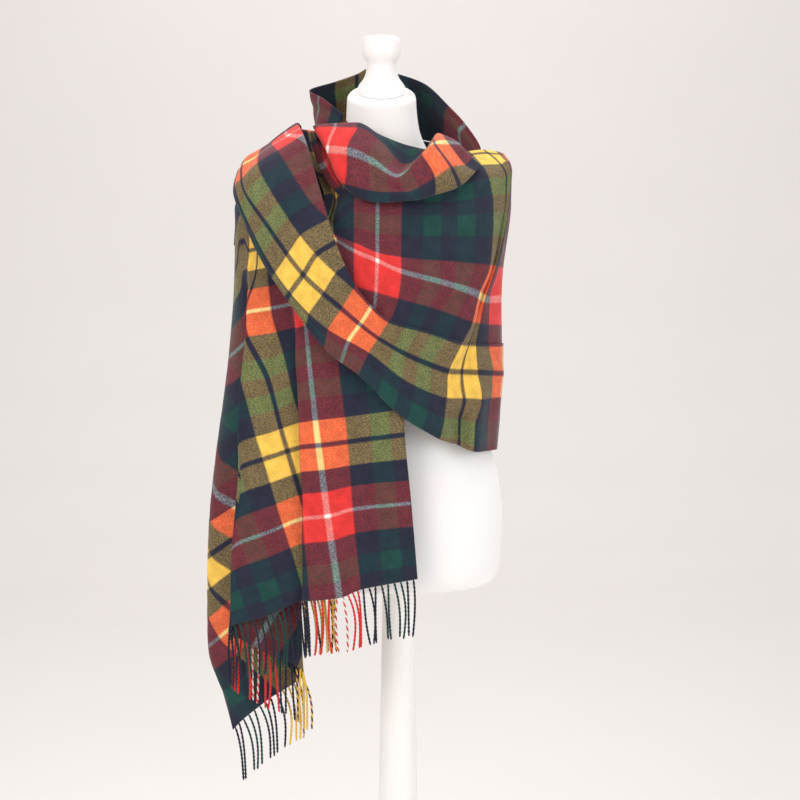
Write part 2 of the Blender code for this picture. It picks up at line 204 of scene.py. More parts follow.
# Both setts end on the same green block.
GREEN_BLOCK = (Band(NAVY, 22), Band(GREEN, 18), Band(NAVY, 16), Band(GREEN, 18), Band(NAVY, 11))
WARP_SETT = Sett(start=42.0, bands=(
    Band(NAVY, 11), Band(RED, 20.7), Band(WHITE, 5.6), Band(RED, 20.7), Band(NAVY, 22),
    Band(YELLOW, 21.6), Band(NAVY, 5.3), Band(YELLOW, 21.6), *GREEN_BLOCK,
))
WEFT_SETT = Sett(start=44.0, bands=(
    Band(NAVY, 11), Band(RED, 21.9), Band(WHITE, 3.2), Band(RED, 21.9), Band(NAVY, 22),
    Band(YELLOW, 21.8), Band(NAVY, 5.4), Band(YELLOW, 21.8), *GREEN_BLOCK,
))


def stripe_colour(tree: bpy.types.NodeTree, place: bpy.types.NodeSocket,
                  sett: Sett) -> bpy.types.NodeSocket:
    """Colour of the stripe at a place across a sett, in display steps.

    Args:
        tree: the material's node tree.
        place: distance across the stripes in metres.
        sett: the order of the stripes.

    Returns:
        The colour's socket.  Dyes mix as the eye reads them when they mix in these steps.
    """
    shifted = add_node(tree, "ShaderNodeMath", {0: place, 1: -sett.start * CLOTH_UNIT},
                       operation="ADD")
    share = add_node(tree, "ShaderNodeMath",
                     {0: shifted.outputs[0], 1: sett.repeat() * CLOTH_UNIT}, operation="DIVIDE")
    inside = add_node(tree, "ShaderNodeMath", {0: share.outputs[0]}, operation="FRACT")
    ramp = set_ramp(add_node(tree, "ShaderNodeValToRGB", {0: inside.outputs[0]}), sett.stops())
    return add_node(tree, "ShaderNodeGamma", {0: ramp.outputs[0], 1: 1 / DISPLAY_GAMMA}).outputs[0]


@dataclass(frozen=True)
class BrushedTartan:
    """Woven lambswool, dyed in the yarn, woven in a 2/2 twill and raised with a nap.

    Warp and weft show about equally, so two dyes that cross make a salt-and-pepper mix, and the
    raised fibres blur the edges of the bands and catch light at a grazing angle.

    Args:
        name: what the material is.
        speckle: size of a fleck in metres.
        slant: angle of the flecks in degrees.
        slender: width of a fleck as a share of its length.
        mix: least and greatest share of the warp's dye in a fleck.
        cover: how much of a crossing its darker yarn covers.
        hair: size of the nap's fibres in metres.
        drift: how far the fibres carry a dye over the edge of its band, in metres.
        nap_height: height of the nap in metres.
        cloud: number of paler and darker clouds to the metre.
        roughness: lowest and highest roughness.
        sheen: weight of the fibre sheen.
    """

    name: str = "brushed lambswool tartan"
    speckle: float = 1.7 * MM
    slant: float = 52.0
    slender: float = 0.55
    mix: tuple[float, float] = (0.27, 0.73)
    cover: float = 0.3
    hair: float = 1.5 * MM
    drift: float = 0.35 * MM
    nap_height: float = 0.5 * MM
    cloud: float = 60.0
    roughness: tuple[float, float] = (0.82, 0.97)
    sheen: float = 0.13

    def weave(self, tree: bpy.types.NodeTree, place: bpy.types.NodeSocket,
              hairs: bpy.types.Node) -> tuple[bpy.types.NodeSocket, bpy.types.NodeSocket]:
        """Cross the warp's stripes with the weft's.

        Args:
            tree: the material's node tree.
            place: place on the cloth, in metres.
            hairs: the nap's noise, which carries the dyes over their edges.

        Returns:
            The sockets of the woven colour, in display steps, and of the flecks.
        """
        centred = add_node(tree, "ShaderNodeVectorMath",
                           {0: hairs.outputs["Color"], 1: (0.5, 0.5, 0.5)}, operation="SUBTRACT")
        drifted = add_node(tree, "ShaderNodeVectorMath",
                           {0: centred.outputs[0], 1: (4 * self.drift,) * 3, 2: place},
                           operation="MULTIPLY_ADD")
        split = add_node(tree, "ShaderNodeSeparateXYZ", {0: drifted.outputs[0]})
        weft = stripe_colour(tree, split.outputs[0], WEFT_SETT)
        warp = stripe_colour(tree, split.outputs[1], WARP_SETT)
        # The twill's real 1.2 mm steps are finer than a look at the whole scarf resolves, so the
        # mix is drawn as slanting flecks of 1.7 mm.
        slanted = add_node(tree, "ShaderNodeMapping",
                           {"Vector": place, "Rotation": (0, 0, math.radians(self.slant)),
                            "Scale": (1.0, self.slender, 1.0)})
        fleck = add_node(tree, "ShaderNodeTexNoise",
                         {"Vector": slanted.outputs[0], "Scale": 1 / self.speckle,
                          "Detail": 1.5, "Roughness": 0.6}, noise_dimensions="2D")
        share = add_node(tree, "ShaderNodeMapRange",
                         {0: fleck.outputs[0], 1: 0.3, 2: 0.7, 3: self.mix[0], 4: self.mix[1]})
        crossed = add_node(tree, "ShaderNodeMix", {0: share.outputs[0], 6: weft, 7: warp},
                           data_type="RGBA")
        # The dark yarn of a crossing covers a little more than half of it.
        darkest = add_node(tree, "ShaderNodeVectorMath", {0: weft, 1: warp},
                           operation="MINIMUM")
        woven = add_node(tree, "ShaderNodeMix",
                         {0: self.cover, 6: crossed.outputs[2], 7: darkest.outputs[0]},
                         data_type="RGBA")
        return woven.outputs[2], fleck.outputs[0]

    def make(self) -> bpy.types.Material:
        """Build the material on the cloth's own map, whose unit is the metre.

        Returns:
            The material.
        """
        material, tree, shader = start_material(self.name)
        place = add_node(tree, "ShaderNodeUVMap", uv_map=CLOTH_MAP).outputs[0]
        hairs = add_node(tree, "ShaderNodeTexNoise",
                         {"Vector": place, "Scale": 1 / self.hair, "Detail": 1.0},
                         noise_dimensions="2D")
        woven, flecks = self.weave(tree, place, hairs)
        clouds = add_node(tree, "ShaderNodeTexNoise",
                          {"Vector": place, "Scale": self.cloud, "Detail": 2.0},
                          noise_dimensions="2D")
        shade = add_node(tree, "ShaderNodeMapRange",
                         {0: clouds.outputs[0], 1: 0.25, 2: 0.75, 3: 0.93, 4: 1.05})
        fibre = add_node(tree, "ShaderNodeMapRange",
                         {0: hairs.outputs[0], 1: 0.25, 2: 0.75, 3: 0.93, 4: 1.07})
        both = add_node(tree, "ShaderNodeMath", {0: shade.outputs[0], 1: fibre.outputs[0]},
                        operation="MULTIPLY")
        toned = add_node(tree, "ShaderNodeVectorMath",
                         {0: woven, "Scale": both.outputs[0]}, operation="SCALE")
        colour = add_node(tree, "ShaderNodeGamma", {0: toned.outputs[0], 1: DISPLAY_GAMMA})
        rough = add_node(tree, "ShaderNodeMapRange",
                         {0: hairs.outputs[0], 1: 0.2, 2: 0.8,
                          3: self.roughness[0], 4: self.roughness[1]})
        height = add_node(tree, "ShaderNodeMath",
                          {0: flecks, 1: hairs.outputs[0]}, operation="ADD")
        bump = add_node(tree, "ShaderNodeBump",
                        {"Height": height.outputs[0], "Strength": 0.45,
                         "Distance": self.nap_height})
        feed(tree, shader, {
            "Base Color": colour.outputs[0], "Roughness": rough.outputs[0],
            "Normal": bump.outputs[0], "Specular IOR Level": 0.15,
            "Sheen Weight": self.sheen, "Sheen Roughness": 0.55,
        })
        return material


@dataclass(frozen=True)
class TwistedYarn:
    """Warp ends of the same wool, twisted hard into two-ply tassels; painted shade darkens them.

    Args:
        name: what the material is.
        fibre: size of a fibre in metres.
        relief: height of a fibre in metres.
    """

    name: str = "twisted lambswool fringe"
    fibre: float = 0.8 * MM
    relief: float = 0.3 * MM

    def make(self) -> bpy.types.Material:
        """Build the material: the map holds the place across the warp and along the tassel.

        Returns:
            The material.
        """
        material, tree, shader = start_material(self.name)
        place = add_node(tree, "ShaderNodeUVMap", uv_map=CLOTH_MAP).outputs[0]
        split = add_node(tree, "ShaderNodeSeparateXYZ", {0: place})
        warp = stripe_colour(tree, split.outputs[1], WARP_SETT)
        where = add_node(tree, "ShaderNodeTexCoord").outputs["Object"]
        strand = add_node(tree, "ShaderNodeTexNoise",
                          {"Vector": where, "Scale": 1 / self.fibre, "Detail": 2.0})
        # Painted shade: the colour darkens where the fibre noise of the bump is low, and a little
        # overall.
        tone = add_node(tree, "ShaderNodeMapRange",
                        {0: strand.outputs[0], 1: 0.25, 2: 0.75, 3: 0.86, 4: 1.04})
        toned = add_node(tree, "ShaderNodeVectorMath", {0: warp, "Scale": tone.outputs[0]},
                         operation="SCALE")
        colour = add_node(tree, "ShaderNodeGamma", {0: toned.outputs[0], 1: DISPLAY_GAMMA})
        bump = add_node(tree, "ShaderNodeBump",
                        {"Height": strand.outputs[0], "Strength": 0.4, "Distance": self.relief})
        feed(tree, shader, {
            "Base Color": colour.outputs[0], "Normal": bump.outputs[0], "Roughness": 0.85,
            "Specular IOR Level": 0.2, "Sheen Weight": 0.15,
        })
        return material


@dataclass(frozen=True)
class PlainFinish:
    """A one-colour finish with a fine grain: its tone, gloss and relief all come from noise.

    Args:
        name: what the material is.
        colour: sRGB hex colour.
        roughness: lowest and highest roughness.
        grain: size of the grain in metres along x, y and z.
        relief: height of the grain in metres.
        tone: darkest share of the colour.
        coat: weight of a clear coat.
        sheen: weight of a fibre sheen.
    """

    name: str
    colour: str
    roughness: tuple[float, float]
    grain: tuple[float, float, float]
    relief: float
    tone: float = 0.97
    coat: float = 0.0
    sheen: float = 0.0

    def make(self) -> bpy.types.Material:
        """Build the material on object coordinates, which are metres here.

        Returns:
            The material.
        """
        material, tree, shader = start_material(self.name)
        where = add_node(tree, "ShaderNodeTexCoord").outputs["Object"]
        scaled = add_node(tree, "ShaderNodeMapping",
                          {"Vector": where, "Scale": tuple(1 / size for size in self.grain)})
        grain = add_node(tree, "ShaderNodeTexNoise",
                         {"Vector": scaled.outputs[0], "Scale": 1.0, "Detail": 3.0})
        pale = linear(self.colour)
        dark = (*(part * self.tone for part in pale[:3]), 1.0)
        ramp = set_ramp(add_node(tree, "ShaderNodeValToRGB", {0: grain.outputs[0]}),
                        [(0.3, dark), (0.7, pale)])
        rough = add_node(tree, "ShaderNodeMapRange",
                         {0: grain.outputs[0], 1: 0.3, 2: 0.7,
                          3: self.roughness[0], 4: self.roughness[1]})
        bump = add_node(tree, "ShaderNodeBump",
                        {"Height": grain.outputs[0], "Strength": 0.5, "Distance": self.relief})
        feed(tree, shader, {
            "Base Color": ramp.outputs[0], "Roughness": rough.outputs[0],
            "Normal": bump.outputs[0], "Coat Weight": self.coat, "Sheen Weight": self.sheen,
        })
        return material


# Tight cotton jersey over foam: a matte off-white with a 1 mm knit.
JERSEY = PlainFinish("white cotton jersey", "F9F8F6", (0.78, 0.92), (1.1 * MM, 1.1 * MM, 1.6 * MM),
                     0.12 * MM, sheen=0.1)
# Sprayed lacquer on turned beech: a satin white with a faint orange peel.
LACQUER = PlainFinish("white lacquered beech", "F8F6F4", (0.32, 0.42), (3 * MM, 3 * MM, 4 * MM),
                      0.03 * MM, tone=0.98, coat=0.25)
# Brushed satin paint on a turned pole: the grain runs along the pole.
PAINT = PlainFinish("white painted beech", "F8F6F3", (0.38, 0.55), (4 * MM, 4 * MM, 60 * MM),
                    0.05 * MM, tone=0.965, coat=0.1)
# Matte paper sweep of a studio.
PAPER = PlainFinish("studio paper", "F7F4F2", (0.9, 0.96), (0.4, 0.4, 0.4), 0.02 * MM, tone=0.985)


# ------------------------------------------------------------------------ pieces
class Slot(Enum):
    """The record's material slots."""

    TARTAN = "brushed wool tartan"
    FRINGE = "wool fringe"
    JERSEY = "cream jersey"
    LACQUER = "white lacquer"
    WOOD = "white painted wood"


def finished(name: str, bm: bmesh.types.BMesh) -> bpy.types.Object:
    """Turn a bmesh into a smooth piece at the origin.

    Args:
        name: the piece's name.
        bm: its shape, which is freed.

    Returns:
        The piece.
    """
    mesh = bpy.data.meshes.new(name)
    bm.to_mesh(mesh)
    bm.free()
    mesh.shade_smooth()
    piece = bpy.data.objects.new(name, mesh)
    bpy.context.scene.collection.objects.link(piece)
    return piece


def settle(piece: bpy.types.Object, finish: bpy.types.Material, slot: Slot,
           *nodes: str) -> None:
    """Dress a piece, hang it on the body and hide the solids that it stands for.

    Args:
        piece: the piece.
        finish: its material.
        slot: the material slot that it takes its finish from; not used.
        nodes: the solids.
    """
    piece.data.materials.append(finish)
    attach(piece, BODY)
    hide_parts(*nodes)
    LOG.info("%s: %d faces", piece.name, len(piece.data.polygons))


def grow(bm: bmesh.types.BMesh, edges: list) -> tuple[list, list]:
    """Extrude a loop of edges in place.

    Args:
        bm: the shape.
        edges: the loop.

    Returns:
        The new loop's vertices and its edges.
    """
    grown = bmesh.ops.extrude_edge_only(bm, edges=edges)["geom"]
    return ([item for item in grown if isinstance(item, bmesh.types.BMVert)],
            [item for item in grown if isinstance(item, bmesh.types.BMEdge)])


# ------------------------------------------------------------------------ cloth
class Hold(Enum):
    """How a stretch of cloth is held."""

    DRAPED = "draped"
    HUNG = "hung"
    FOLDED = "folded"
    GATHERED = "gathered"


@dataclass(frozen=True)
class Fold:
    """One fold or line of the cloth: its cloth coordinates and its place, in millimetres.

    Args:
        line: what the line is.
        t: place across the cloth, one for all stations or one for each.
        x: place to the right at each station.
        y: place to the back at each station.
        z: height at each station.
        s: place along the cloth where it isn't the stretch's own stations.
    """

    line: str
    t: float | tuple[float, ...]
    x: tuple[float, ...]
    y: tuple[float, ...]
    z: tuple[float, ...]
    s: tuple[float, ...] | None = None


@dataclass(frozen=True)
class Crease:
    """A soft trough or ridge pressed into a stretch.

    Args:
        path: cloth coordinates (s, t) of the points that it runs through.
        rise: its height in millimetres, below zero for a trough.
        width: half its width in cloth units.
        blunt: share of its run at both ends where it stops fading.
        fullness: how fast it rises from its ends, faster below 1.
    """

    path: tuple[tuple[float, float], ...]
    rise: float
    width: float
    blunt: float = 0.02
    fullness: float = 0.6

    def lift(self, places: np.ndarray) -> np.ndarray:
        """Height that this crease adds, in metres.

        Args:
            places: cloth coordinates (s, t) of every point.

        Returns:
            One height for each point, which fades out at both ends of the crease.
        """
        points = np.array(self.path, dtype=float)
        lengths = np.linalg.norm(np.diff(points, axis=0), axis=1)
        run = np.concatenate(([0.0], np.cumsum(lengths)))
        nearest = np.full(len(places), np.inf)
        along = np.zeros(len(places))
        for start, end, length, before in zip(points, points[1:], lengths, run):
            way = (end - start) / length
            share = np.clip((places - start) @ way, 0.0, length)
            away = np.linalg.norm(places - start - share[:, None] * way, axis=1)
            closer = away < nearest
            nearest = np.where(closer, away, nearest)
            along = np.where(closer, before + share, along)
        part = np.clip(along / run[-1], self.blunt, 1 - self.blunt)
        fade = np.sin(np.pi * part) ** self.fullness
        return self.rise * MM * fade * np.exp(-(nearest / self.width) ** 2)


def smooth_through(values: np.ndarray, steps: int) -> np.ndarray:
    """Curve through values along the first axis that never overshoots them.

    Args:
        values: what the curve passes through.
        steps: how many steps it takes from one value to the next.

    Returns:
        The values on the curve, both ends included.
    """
    rise = np.diff(values, axis=0)
    slope = np.zeros_like(values)
    total = rise[:-1] + rise[1:]
    safe = np.where(total == 0, 1.0, total)
    product = rise[:-1] * rise[1:]
    slope[1:-1] = np.where(product > 0, 2 * product / safe, 0.0)
    slope[0] = rise[0]
    slope[-1] = rise[-1]
    u = (np.arange(steps) / steps).reshape(-1, *([1] * (values.ndim - 1)))
    spans = []
    for span in range(len(values) - 1):
        spans.append(
            values[span] * (2 * u ** 3 - 3 * u ** 2 + 1)
            + slope[span] * (u ** 3 - 2 * u ** 2 + u)
            + values[span + 1] * (3 * u ** 2 - 2 * u ** 3)
            + slope[span + 1] * (u ** 3 - u ** 2)
        )
    spans.append(values[-1:])
    return np.concatenate(spans)


# Waves of the slack: share of its height, lengths along s and t in cloth units, and phase.
SLACK_WAVES = (
    (0.40, 13.7, 31.0, 0.6), (0.30, -41.0, 17.3, 2.1), (0.18, 8.9, 8.9, 1.3),
    (0.12, 6.1, -6.1 / 1.4, 4.0),
)
# Cells from an edge over which the slack and the creases die away.
CALM_CELLS = 5
# Cloth units between two places that give the hem's direction.
HEM_STEP = 1.5


def slack(places: np.ndarray, height: float) -> np.ndarray:
    """The slight unevenness of cloth that has been folded and hung.

    Args:
        places: cloth coordinates (s, t) of every point.
        height: its greatest height in metres.

    Returns:
        One height for each point, from waves whose lengths don't repeat together.
    """
    s, t = places[:, 0], places[:, 1]
    return height * sum(share * np.sin(s / along + t / across + phase)
                        for share, along, across, phase in SLACK_WAVES)


def edge_calm(rows: int, columns: int) -> np.ndarray:
    """Share of the unevenness at each point of a grid.

    Args:
        rows: number of its rows.
        columns: number of its columns.

    Returns:
        One share for each point, row by row, which is none along the grid's edges.
    """
    down = np.minimum(np.arange(rows), np.arange(rows)[::-1]) / CALM_CELLS
    over = np.minimum(np.arange(columns), np.arange(columns)[::-1]) / CALM_CELLS
    share = np.clip(np.minimum.outer(down, over), 0.0, 1.0)
    return (share * share * (3 - 2 * share)).reshape(-1)


def outward(bm: bmesh.types.BMesh) -> float:
    """Find which way a grid round the pole faces.

    Args:
        bm: the grid.

    Returns:
        1 where its normals point away from the pole, and -1 where they don't.
    """
    total = 0.0
    for face in bm.faces:
        middle = face.calc_center_median()
        total += face.calc_area() * face.normal.dot(Vector((middle.x, middle.y, 0.0)))
    return 1.0 if total >= 0 else -1.0


@dataclass
class Stretch:
    """One stretch of the scarf, as a thin wall on the surface through its table.

    Args:
        name: the piece's name.
        node: the solid that it stands for.
        stations: s of each station.
        folds: the table.
        across: cells from one row to the next.
        along: cells from one station to the next.
        held: how it is held; not used.
        rests_on: what it lies on; not used.
        creases: soft troughs and ridges.
        passes: how often the folds are rounded.
        unevenness: height of the slack, in metres.
        tucked: share of the cut that lies in gathers and doesn't show.
        piece: the finished piece.
        points: place of every point of its grid, by row and column.
    """

    name: str
    node: str
    stations: tuple[float, ...]
    folds: tuple[Fold, ...]
    across: int
    along: int
    held: Hold
    rests_on: tuple[str, ...]
    creases: tuple[Crease, ...] = ()
    passes: int = 6
    unevenness: float = 1.5 * MM
    tucked: float = 0.0
    piece: bpy.types.Object | None = None
    points: np.ndarray | None = None

    def net(self) -> np.ndarray:
        """Read the table.

        Returns:
            Rows, stations and x, y, z, s, t, in metres and cloth units.
        """
        count = len(self.stations)
        rows = []
        for fold in self.folds:
            if len(fold.x) != count:
                raise ValueError(f"{self.name}: row {fold.line!r} needs {count} places")
            t = np.broadcast_to(np.array(fold.t, dtype=float), (count,))
            s = np.array(fold.s or self.stations, dtype=float)
            rows.append(np.column_stack((np.array((fold.x, fold.y, fold.z)).T * MM, s, t)))
        return np.array(rows)

    def surface(self) -> np.ndarray:
        """The net drawn out to the fine grid."""
        lines = smooth_through(self.net(), self.across)
        return np.swapaxes(smooth_through(np.swapaxes(lines, 0, 1), self.along), 0, 1)

    def press(self, bm: bmesh.types.BMesh, order: list, places: np.ndarray,
              calm: np.ndarray) -> None:
        """Round the folds of the grid, and press the creases and the slack into it.

        Args:
            bm: the grid.
            order: its vertices, row by row.
            places: cloth coordinates (s, t) of each vertex.
            calm: share of the unevenness at each vertex.
        """
        inner = [v for v in bm.verts if not v.is_boundary]
        for _ in range(self.passes):
            bmesh.ops.smooth_vert(bm, verts=inner, factor=0.5, use_axis_x=True,
                                  use_axis_y=True, use_axis_z=True)
        bm.normal_update()
        lift = slack(places, self.unevenness)
        for crease in self.creases:
            lift = lift + crease.lift(places)
        side = outward(bm)
        for vertex, height, share in zip(order, lift, calm):
            vertex.co += vertex.normal * (side * height * share)

    @staticmethod
    def map_cloth(bm: bmesh.types.BMesh, order: list, places: np.ndarray) -> None:
        """Give the grid its map, which holds s and t in metres.

        Args:
            bm: the grid.
            order: its vertices, row by row.
            places: cloth coordinates (s, t) of each vertex.
        """
        bm.verts.index_update()
        place = {vertex.index: row for vertex, row in zip(order, places)}
        layer = bm.loops.layers.uv.new(CLOTH_MAP)
        for face in bm.faces:
            for loop in face.loops:
                s, t = place[loop.vert.index]
                loop[layer].uv = (s * CLOTH_UNIT, t * CLOTH_UNIT)

    def build(self) -> None:
        """Lay a grid on the surface, press it into shape and give it its wall."""
        fine = self.surface()
        rows, columns = fine.shape[:2]
        bm = bmesh.new()
        bmesh.ops.create_grid(bm, x_segments=columns - 1, y_segments=rows - 1, size=1.0)
        order = sorted(bm.verts, key=lambda v: (round(v.co.y, 5), round(v.co.x, 5)))
        flat = fine.reshape(-1, 5)
        for vertex, row in zip(order, flat):
            vertex.co = row[:3]
        self.press(bm, order, flat[:, 3:], edge_calm(rows, columns))
        self.points = np.array([tuple(v.co) for v in order]).reshape(rows, columns, 3)
        self.map_cloth(bm, order, flat[:, 3:])
        self.piece = finished(self.name, bm)
        wall = self.piece.modifiers.new("wall", "SOLIDIFY")
        wall.thickness = CLOTH_WALL
        wall.offset = 0.0

    def cut(self) -> tuple[tuple[float, float], float]:
        """Measure the flat cloth that this stretch takes.

        Returns:
            Its width and length in metres, and its area in square metres.
        """
        fine = self.surface()[:, :, 3:] * CLOTH_UNIT
        first = fine[1:, 1:] - fine[:-1, :-1]
        second = fine[1:, :-1] - fine[:-1, 1:]
        area = float(np.abs(np.cross(first, second)).sum() / 2) * (1 - self.tucked)
        size = fine.reshape(-1, 2).max(axis=0) - fine.reshape(-1, 2).min(axis=0)
        return (float(size[1]), float(size[0])), area

    def dress(self, cloth: bpy.types.Material) -> None:
        """Give the stretch its cloth."""
        settle(self.piece, cloth, Slot.TARTAN, self.node)

    def declare(self, fringes: list[str]) -> None:
        """Measure the cut of what shows of the stretch.

        Args:
            fringes: the fringes that hang from it; not used.
        """
        flat, area = self.cut()
        list(self.rests_on)
        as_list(fringes)


@dataclass(frozen=True)
class Hang:
    """How one tassel hangs: lengths in metres, and a turn in radians.

    Args:
        lean: how far its tip leans along the hem.
        depth: how far its tip leans to the back.
        belly: how far its middle bows along the hem.
        length: its length as a share of the fringe's reach.
        turn: how it is turned on itself.
    """

    lean: float
    depth: float
    belly: float
    length: float
    turn: float


@dataclass
class Fringe:
    """A row of two-ply tassels along a hem.

    Args:
        name: the piece's name.
        nodes: the solids that it stands for.
        seed: start of the draws for how the tassels hang.
        reach: length of a tassel in metres.
        pitch: cloth units from one tassel to the next.
        sides: points round a tassel.
        rings: rings along a tassel.
        radius: radius of a tassel in metres.
        knot: radius of its top as a share of that.
        lobe: share by which its two plies stand out.
        lay: length of one turn of the twist in metres.
        sink: how far under the hem a tassel starts, in metres.
        sway: greatest lean of a tip in metres.
        closing: share of the pitch by which the tips of a group close up.
        stray: share of the sway by which a tip strays in its group.
        bow: share of the sway for its bow and its lean to the back.
        stand_off: share of its length by which a tassel leaves a hem that slants down to
            the left, square to it.
        piece: the finished piece.
    """

    name: str
    nodes: tuple[str, ...]
    seed: int
    reach: float = 89 * MM
    pitch: float = 5.8
    sides: int = 10
    rings: int = 40
    radius: float = 1.75 * MM
    knot: float = 0.7
    lobe: float = 0.15
    lay: float = 13 * MM
    sink: float = 0.4 * MM
    sway: float = 7 * MM
    closing: float = 0.4
    stray: float = 0.15
    bow: float = 0.6
    stand_off: float = 0.30
    piece: bpy.types.Object | None = None

    def yarn(self) -> bpy.types.Mesh:
        """Make one straight tassel that hangs from the origin.

        Returns:
            Its mesh, with a map of its ply, 1 or -1, and its height.
        """
        bm = bmesh.new()
        layer = bm.loops.layers.uv.new(CLOTH_MAP)
        made = bmesh.ops.create_circle(bm, segments=self.sides, radius=self.radius)
        for vertex in made["verts"]:
            turn = math.atan2(vertex.co.y, vertex.co.x)
            vertex.co *= 1 + self.lobe * math.cos(2 * turn)
        bmesh.ops.scale(bm, vec=(self.knot, self.knot, 1.0), verts=bm.verts)
        edges = bm.edges[:]
        start = edges
        step = self.reach / self.rings
        turn = Matrix.Rotation(2 * math.pi * step / self.lay, 4, "Z")
        swells = {1: 1 / self.knot, self.rings - 1: 0.9, self.rings: 0.55}
        for ring in range(1, self.rings + 1):
            verts, edges = grow(bm, edges)
            bmesh.ops.transform(bm, matrix=turn, verts=verts)
            bmesh.ops.translate(bm, vec=(0.0, 0.0, -step), verts=verts)
            swell = swells.get(ring)
            if swell:
                bmesh.ops.scale(bm, vec=(swell, swell, 1.0), verts=verts)
        bmesh.ops.edgeloop_fill(bm, edges=edges)
        bmesh.ops.edgeloop_fill(bm, edges=start)
        bmesh.ops.recalc_face_normals(bm, faces=bm.faces)
        for face in bm.faces:
            middle = face.calc_center_median()
            back = Matrix.Rotation(2 * math.pi * middle.z / self.lay, 4, "Z") @ middle
            ply = 1.0 if back.x > 0 else -1.0
            for loop in face.loops:
                loop[layer].uv = (ply, loop.vert.co.z)
        mesh = bpy.data.meshes.new(self.name + "_yarn")
        bm.to_mesh(mesh)
        bm.free()
        return mesh

    def hangs(self, count: int) -> Iterator[Hang]:
        """Draw how each tassel hangs, in groups of two or three whose tips close up.

        Args:
            count: number of tassels.

        Returns:
            One draw for each tassel.
        """
        draw = random.Random(self.seed)
        place, group, group_lean = 0, 0, 0.0
        for _ in range(count):
            if place == group:
                place, group = 0, draw.choice((2, 2, 3))
                group_lean = draw.uniform(-0.5, 0.5) * self.sway
            closing = ((group - 1) / 2 - place) * self.pitch * CLOTH_UNIT * self.closing
            place += 1
            yield Hang(
                lean=group_lean + closing + draw.uniform(-1, 1) * self.stray * self.sway,
                depth=draw.uniform(-0.5, 0.5) * self.sway * self.bow,
                belly=draw.uniform(-1, 1) * self.bow * self.sway,
                length=draw.uniform(0.95, 1.0),
                turn=draw.uniform(0, math.pi),
            )

    def bend(self, verts: Iterable[bmesh.types.BMVert], top: Vector, way: Vector,
             hang: Hang) -> None:
        """Bend a straight tassel into the way that it hangs.

        Args:
            verts: its vertices.
            top: its place on the hem.
            way: direction of the hem there.
            hang: how it hangs.
        """
        square = Vector((way.x, way.y, 0.0)) * way.z
        leave = square * self.reach * self.stand_off if square.x > 0 else square * 0
        spin = Matrix.Rotation(hang.turn, 3, "Z")
        for vertex in verts:
            drop = -vertex.co.z / self.reach
            flat = spin @ Vector((vertex.co.x, vertex.co.y, 0.0))
            along = hang.lean * drop ** 1.5 + hang.belly * math.sin(math.pi * drop)
            down = -self.sink - drop * self.reach * hang.length
            vertex.co = (
                top + flat + way * along + leave * (1 - (1 - drop) ** 3)
                + Vector((0.0, hang.depth * drop ** 1.5, down))
            )

    def build(self, hem: np.ndarray, across: np.ndarray) -> None:
        """Hang a tassel at every pitch of the hem.

        Args:
            hem: places along the hem, in metres.
            across: t of each of those places.
        """
        yarn = self.yarn()
        bm = bmesh.new()
        layer = bm.loops.layers.uv.new(CLOTH_MAP)
        low, high = float(across.min()), float(across.max())
        count = int((high - low) // self.pitch)
        spare = (high - low - (count - 1) * self.pitch) / 2
        for number, hang in enumerate(self.hangs(count)):
            t = low + spare + number * self.pitch
            top, near = (Vector([float(np.interp(place, across, hem[:, k])) for k in range(3)])
                         for place in (t, t + HEM_STEP))
            old_verts, old_faces = len(bm.verts), len(bm.faces)
            bm.from_mesh(yarn)
            bm.verts.ensure_lookup_table()
            bm.faces.ensure_lookup_table()
            self.bend(bm.verts[old_verts:], top, (near - top).normalized(), hang)
            for face in bm.faces[old_faces:]:
                for loop in face.loops:
                    ply, height = loop[layer].uv
                    loop[layer].uv = (height, (t + ply * self.pitch / 4) * CLOTH_UNIT)
        bmesh.ops.recalc_face_normals(bm, faces=bm.faces)
        self.piece = finished(self.name, bm)
        bpy.data.meshes.remove(yarn)
        LOG.info("%s: %d tassels", self.name, count)

    def dress(self, yarn: bpy.types.Material) -> None:
        """Give the tassels their yarn."""
        settle(self.piece, yarn, Slot.FRINGE, *self.nodes)


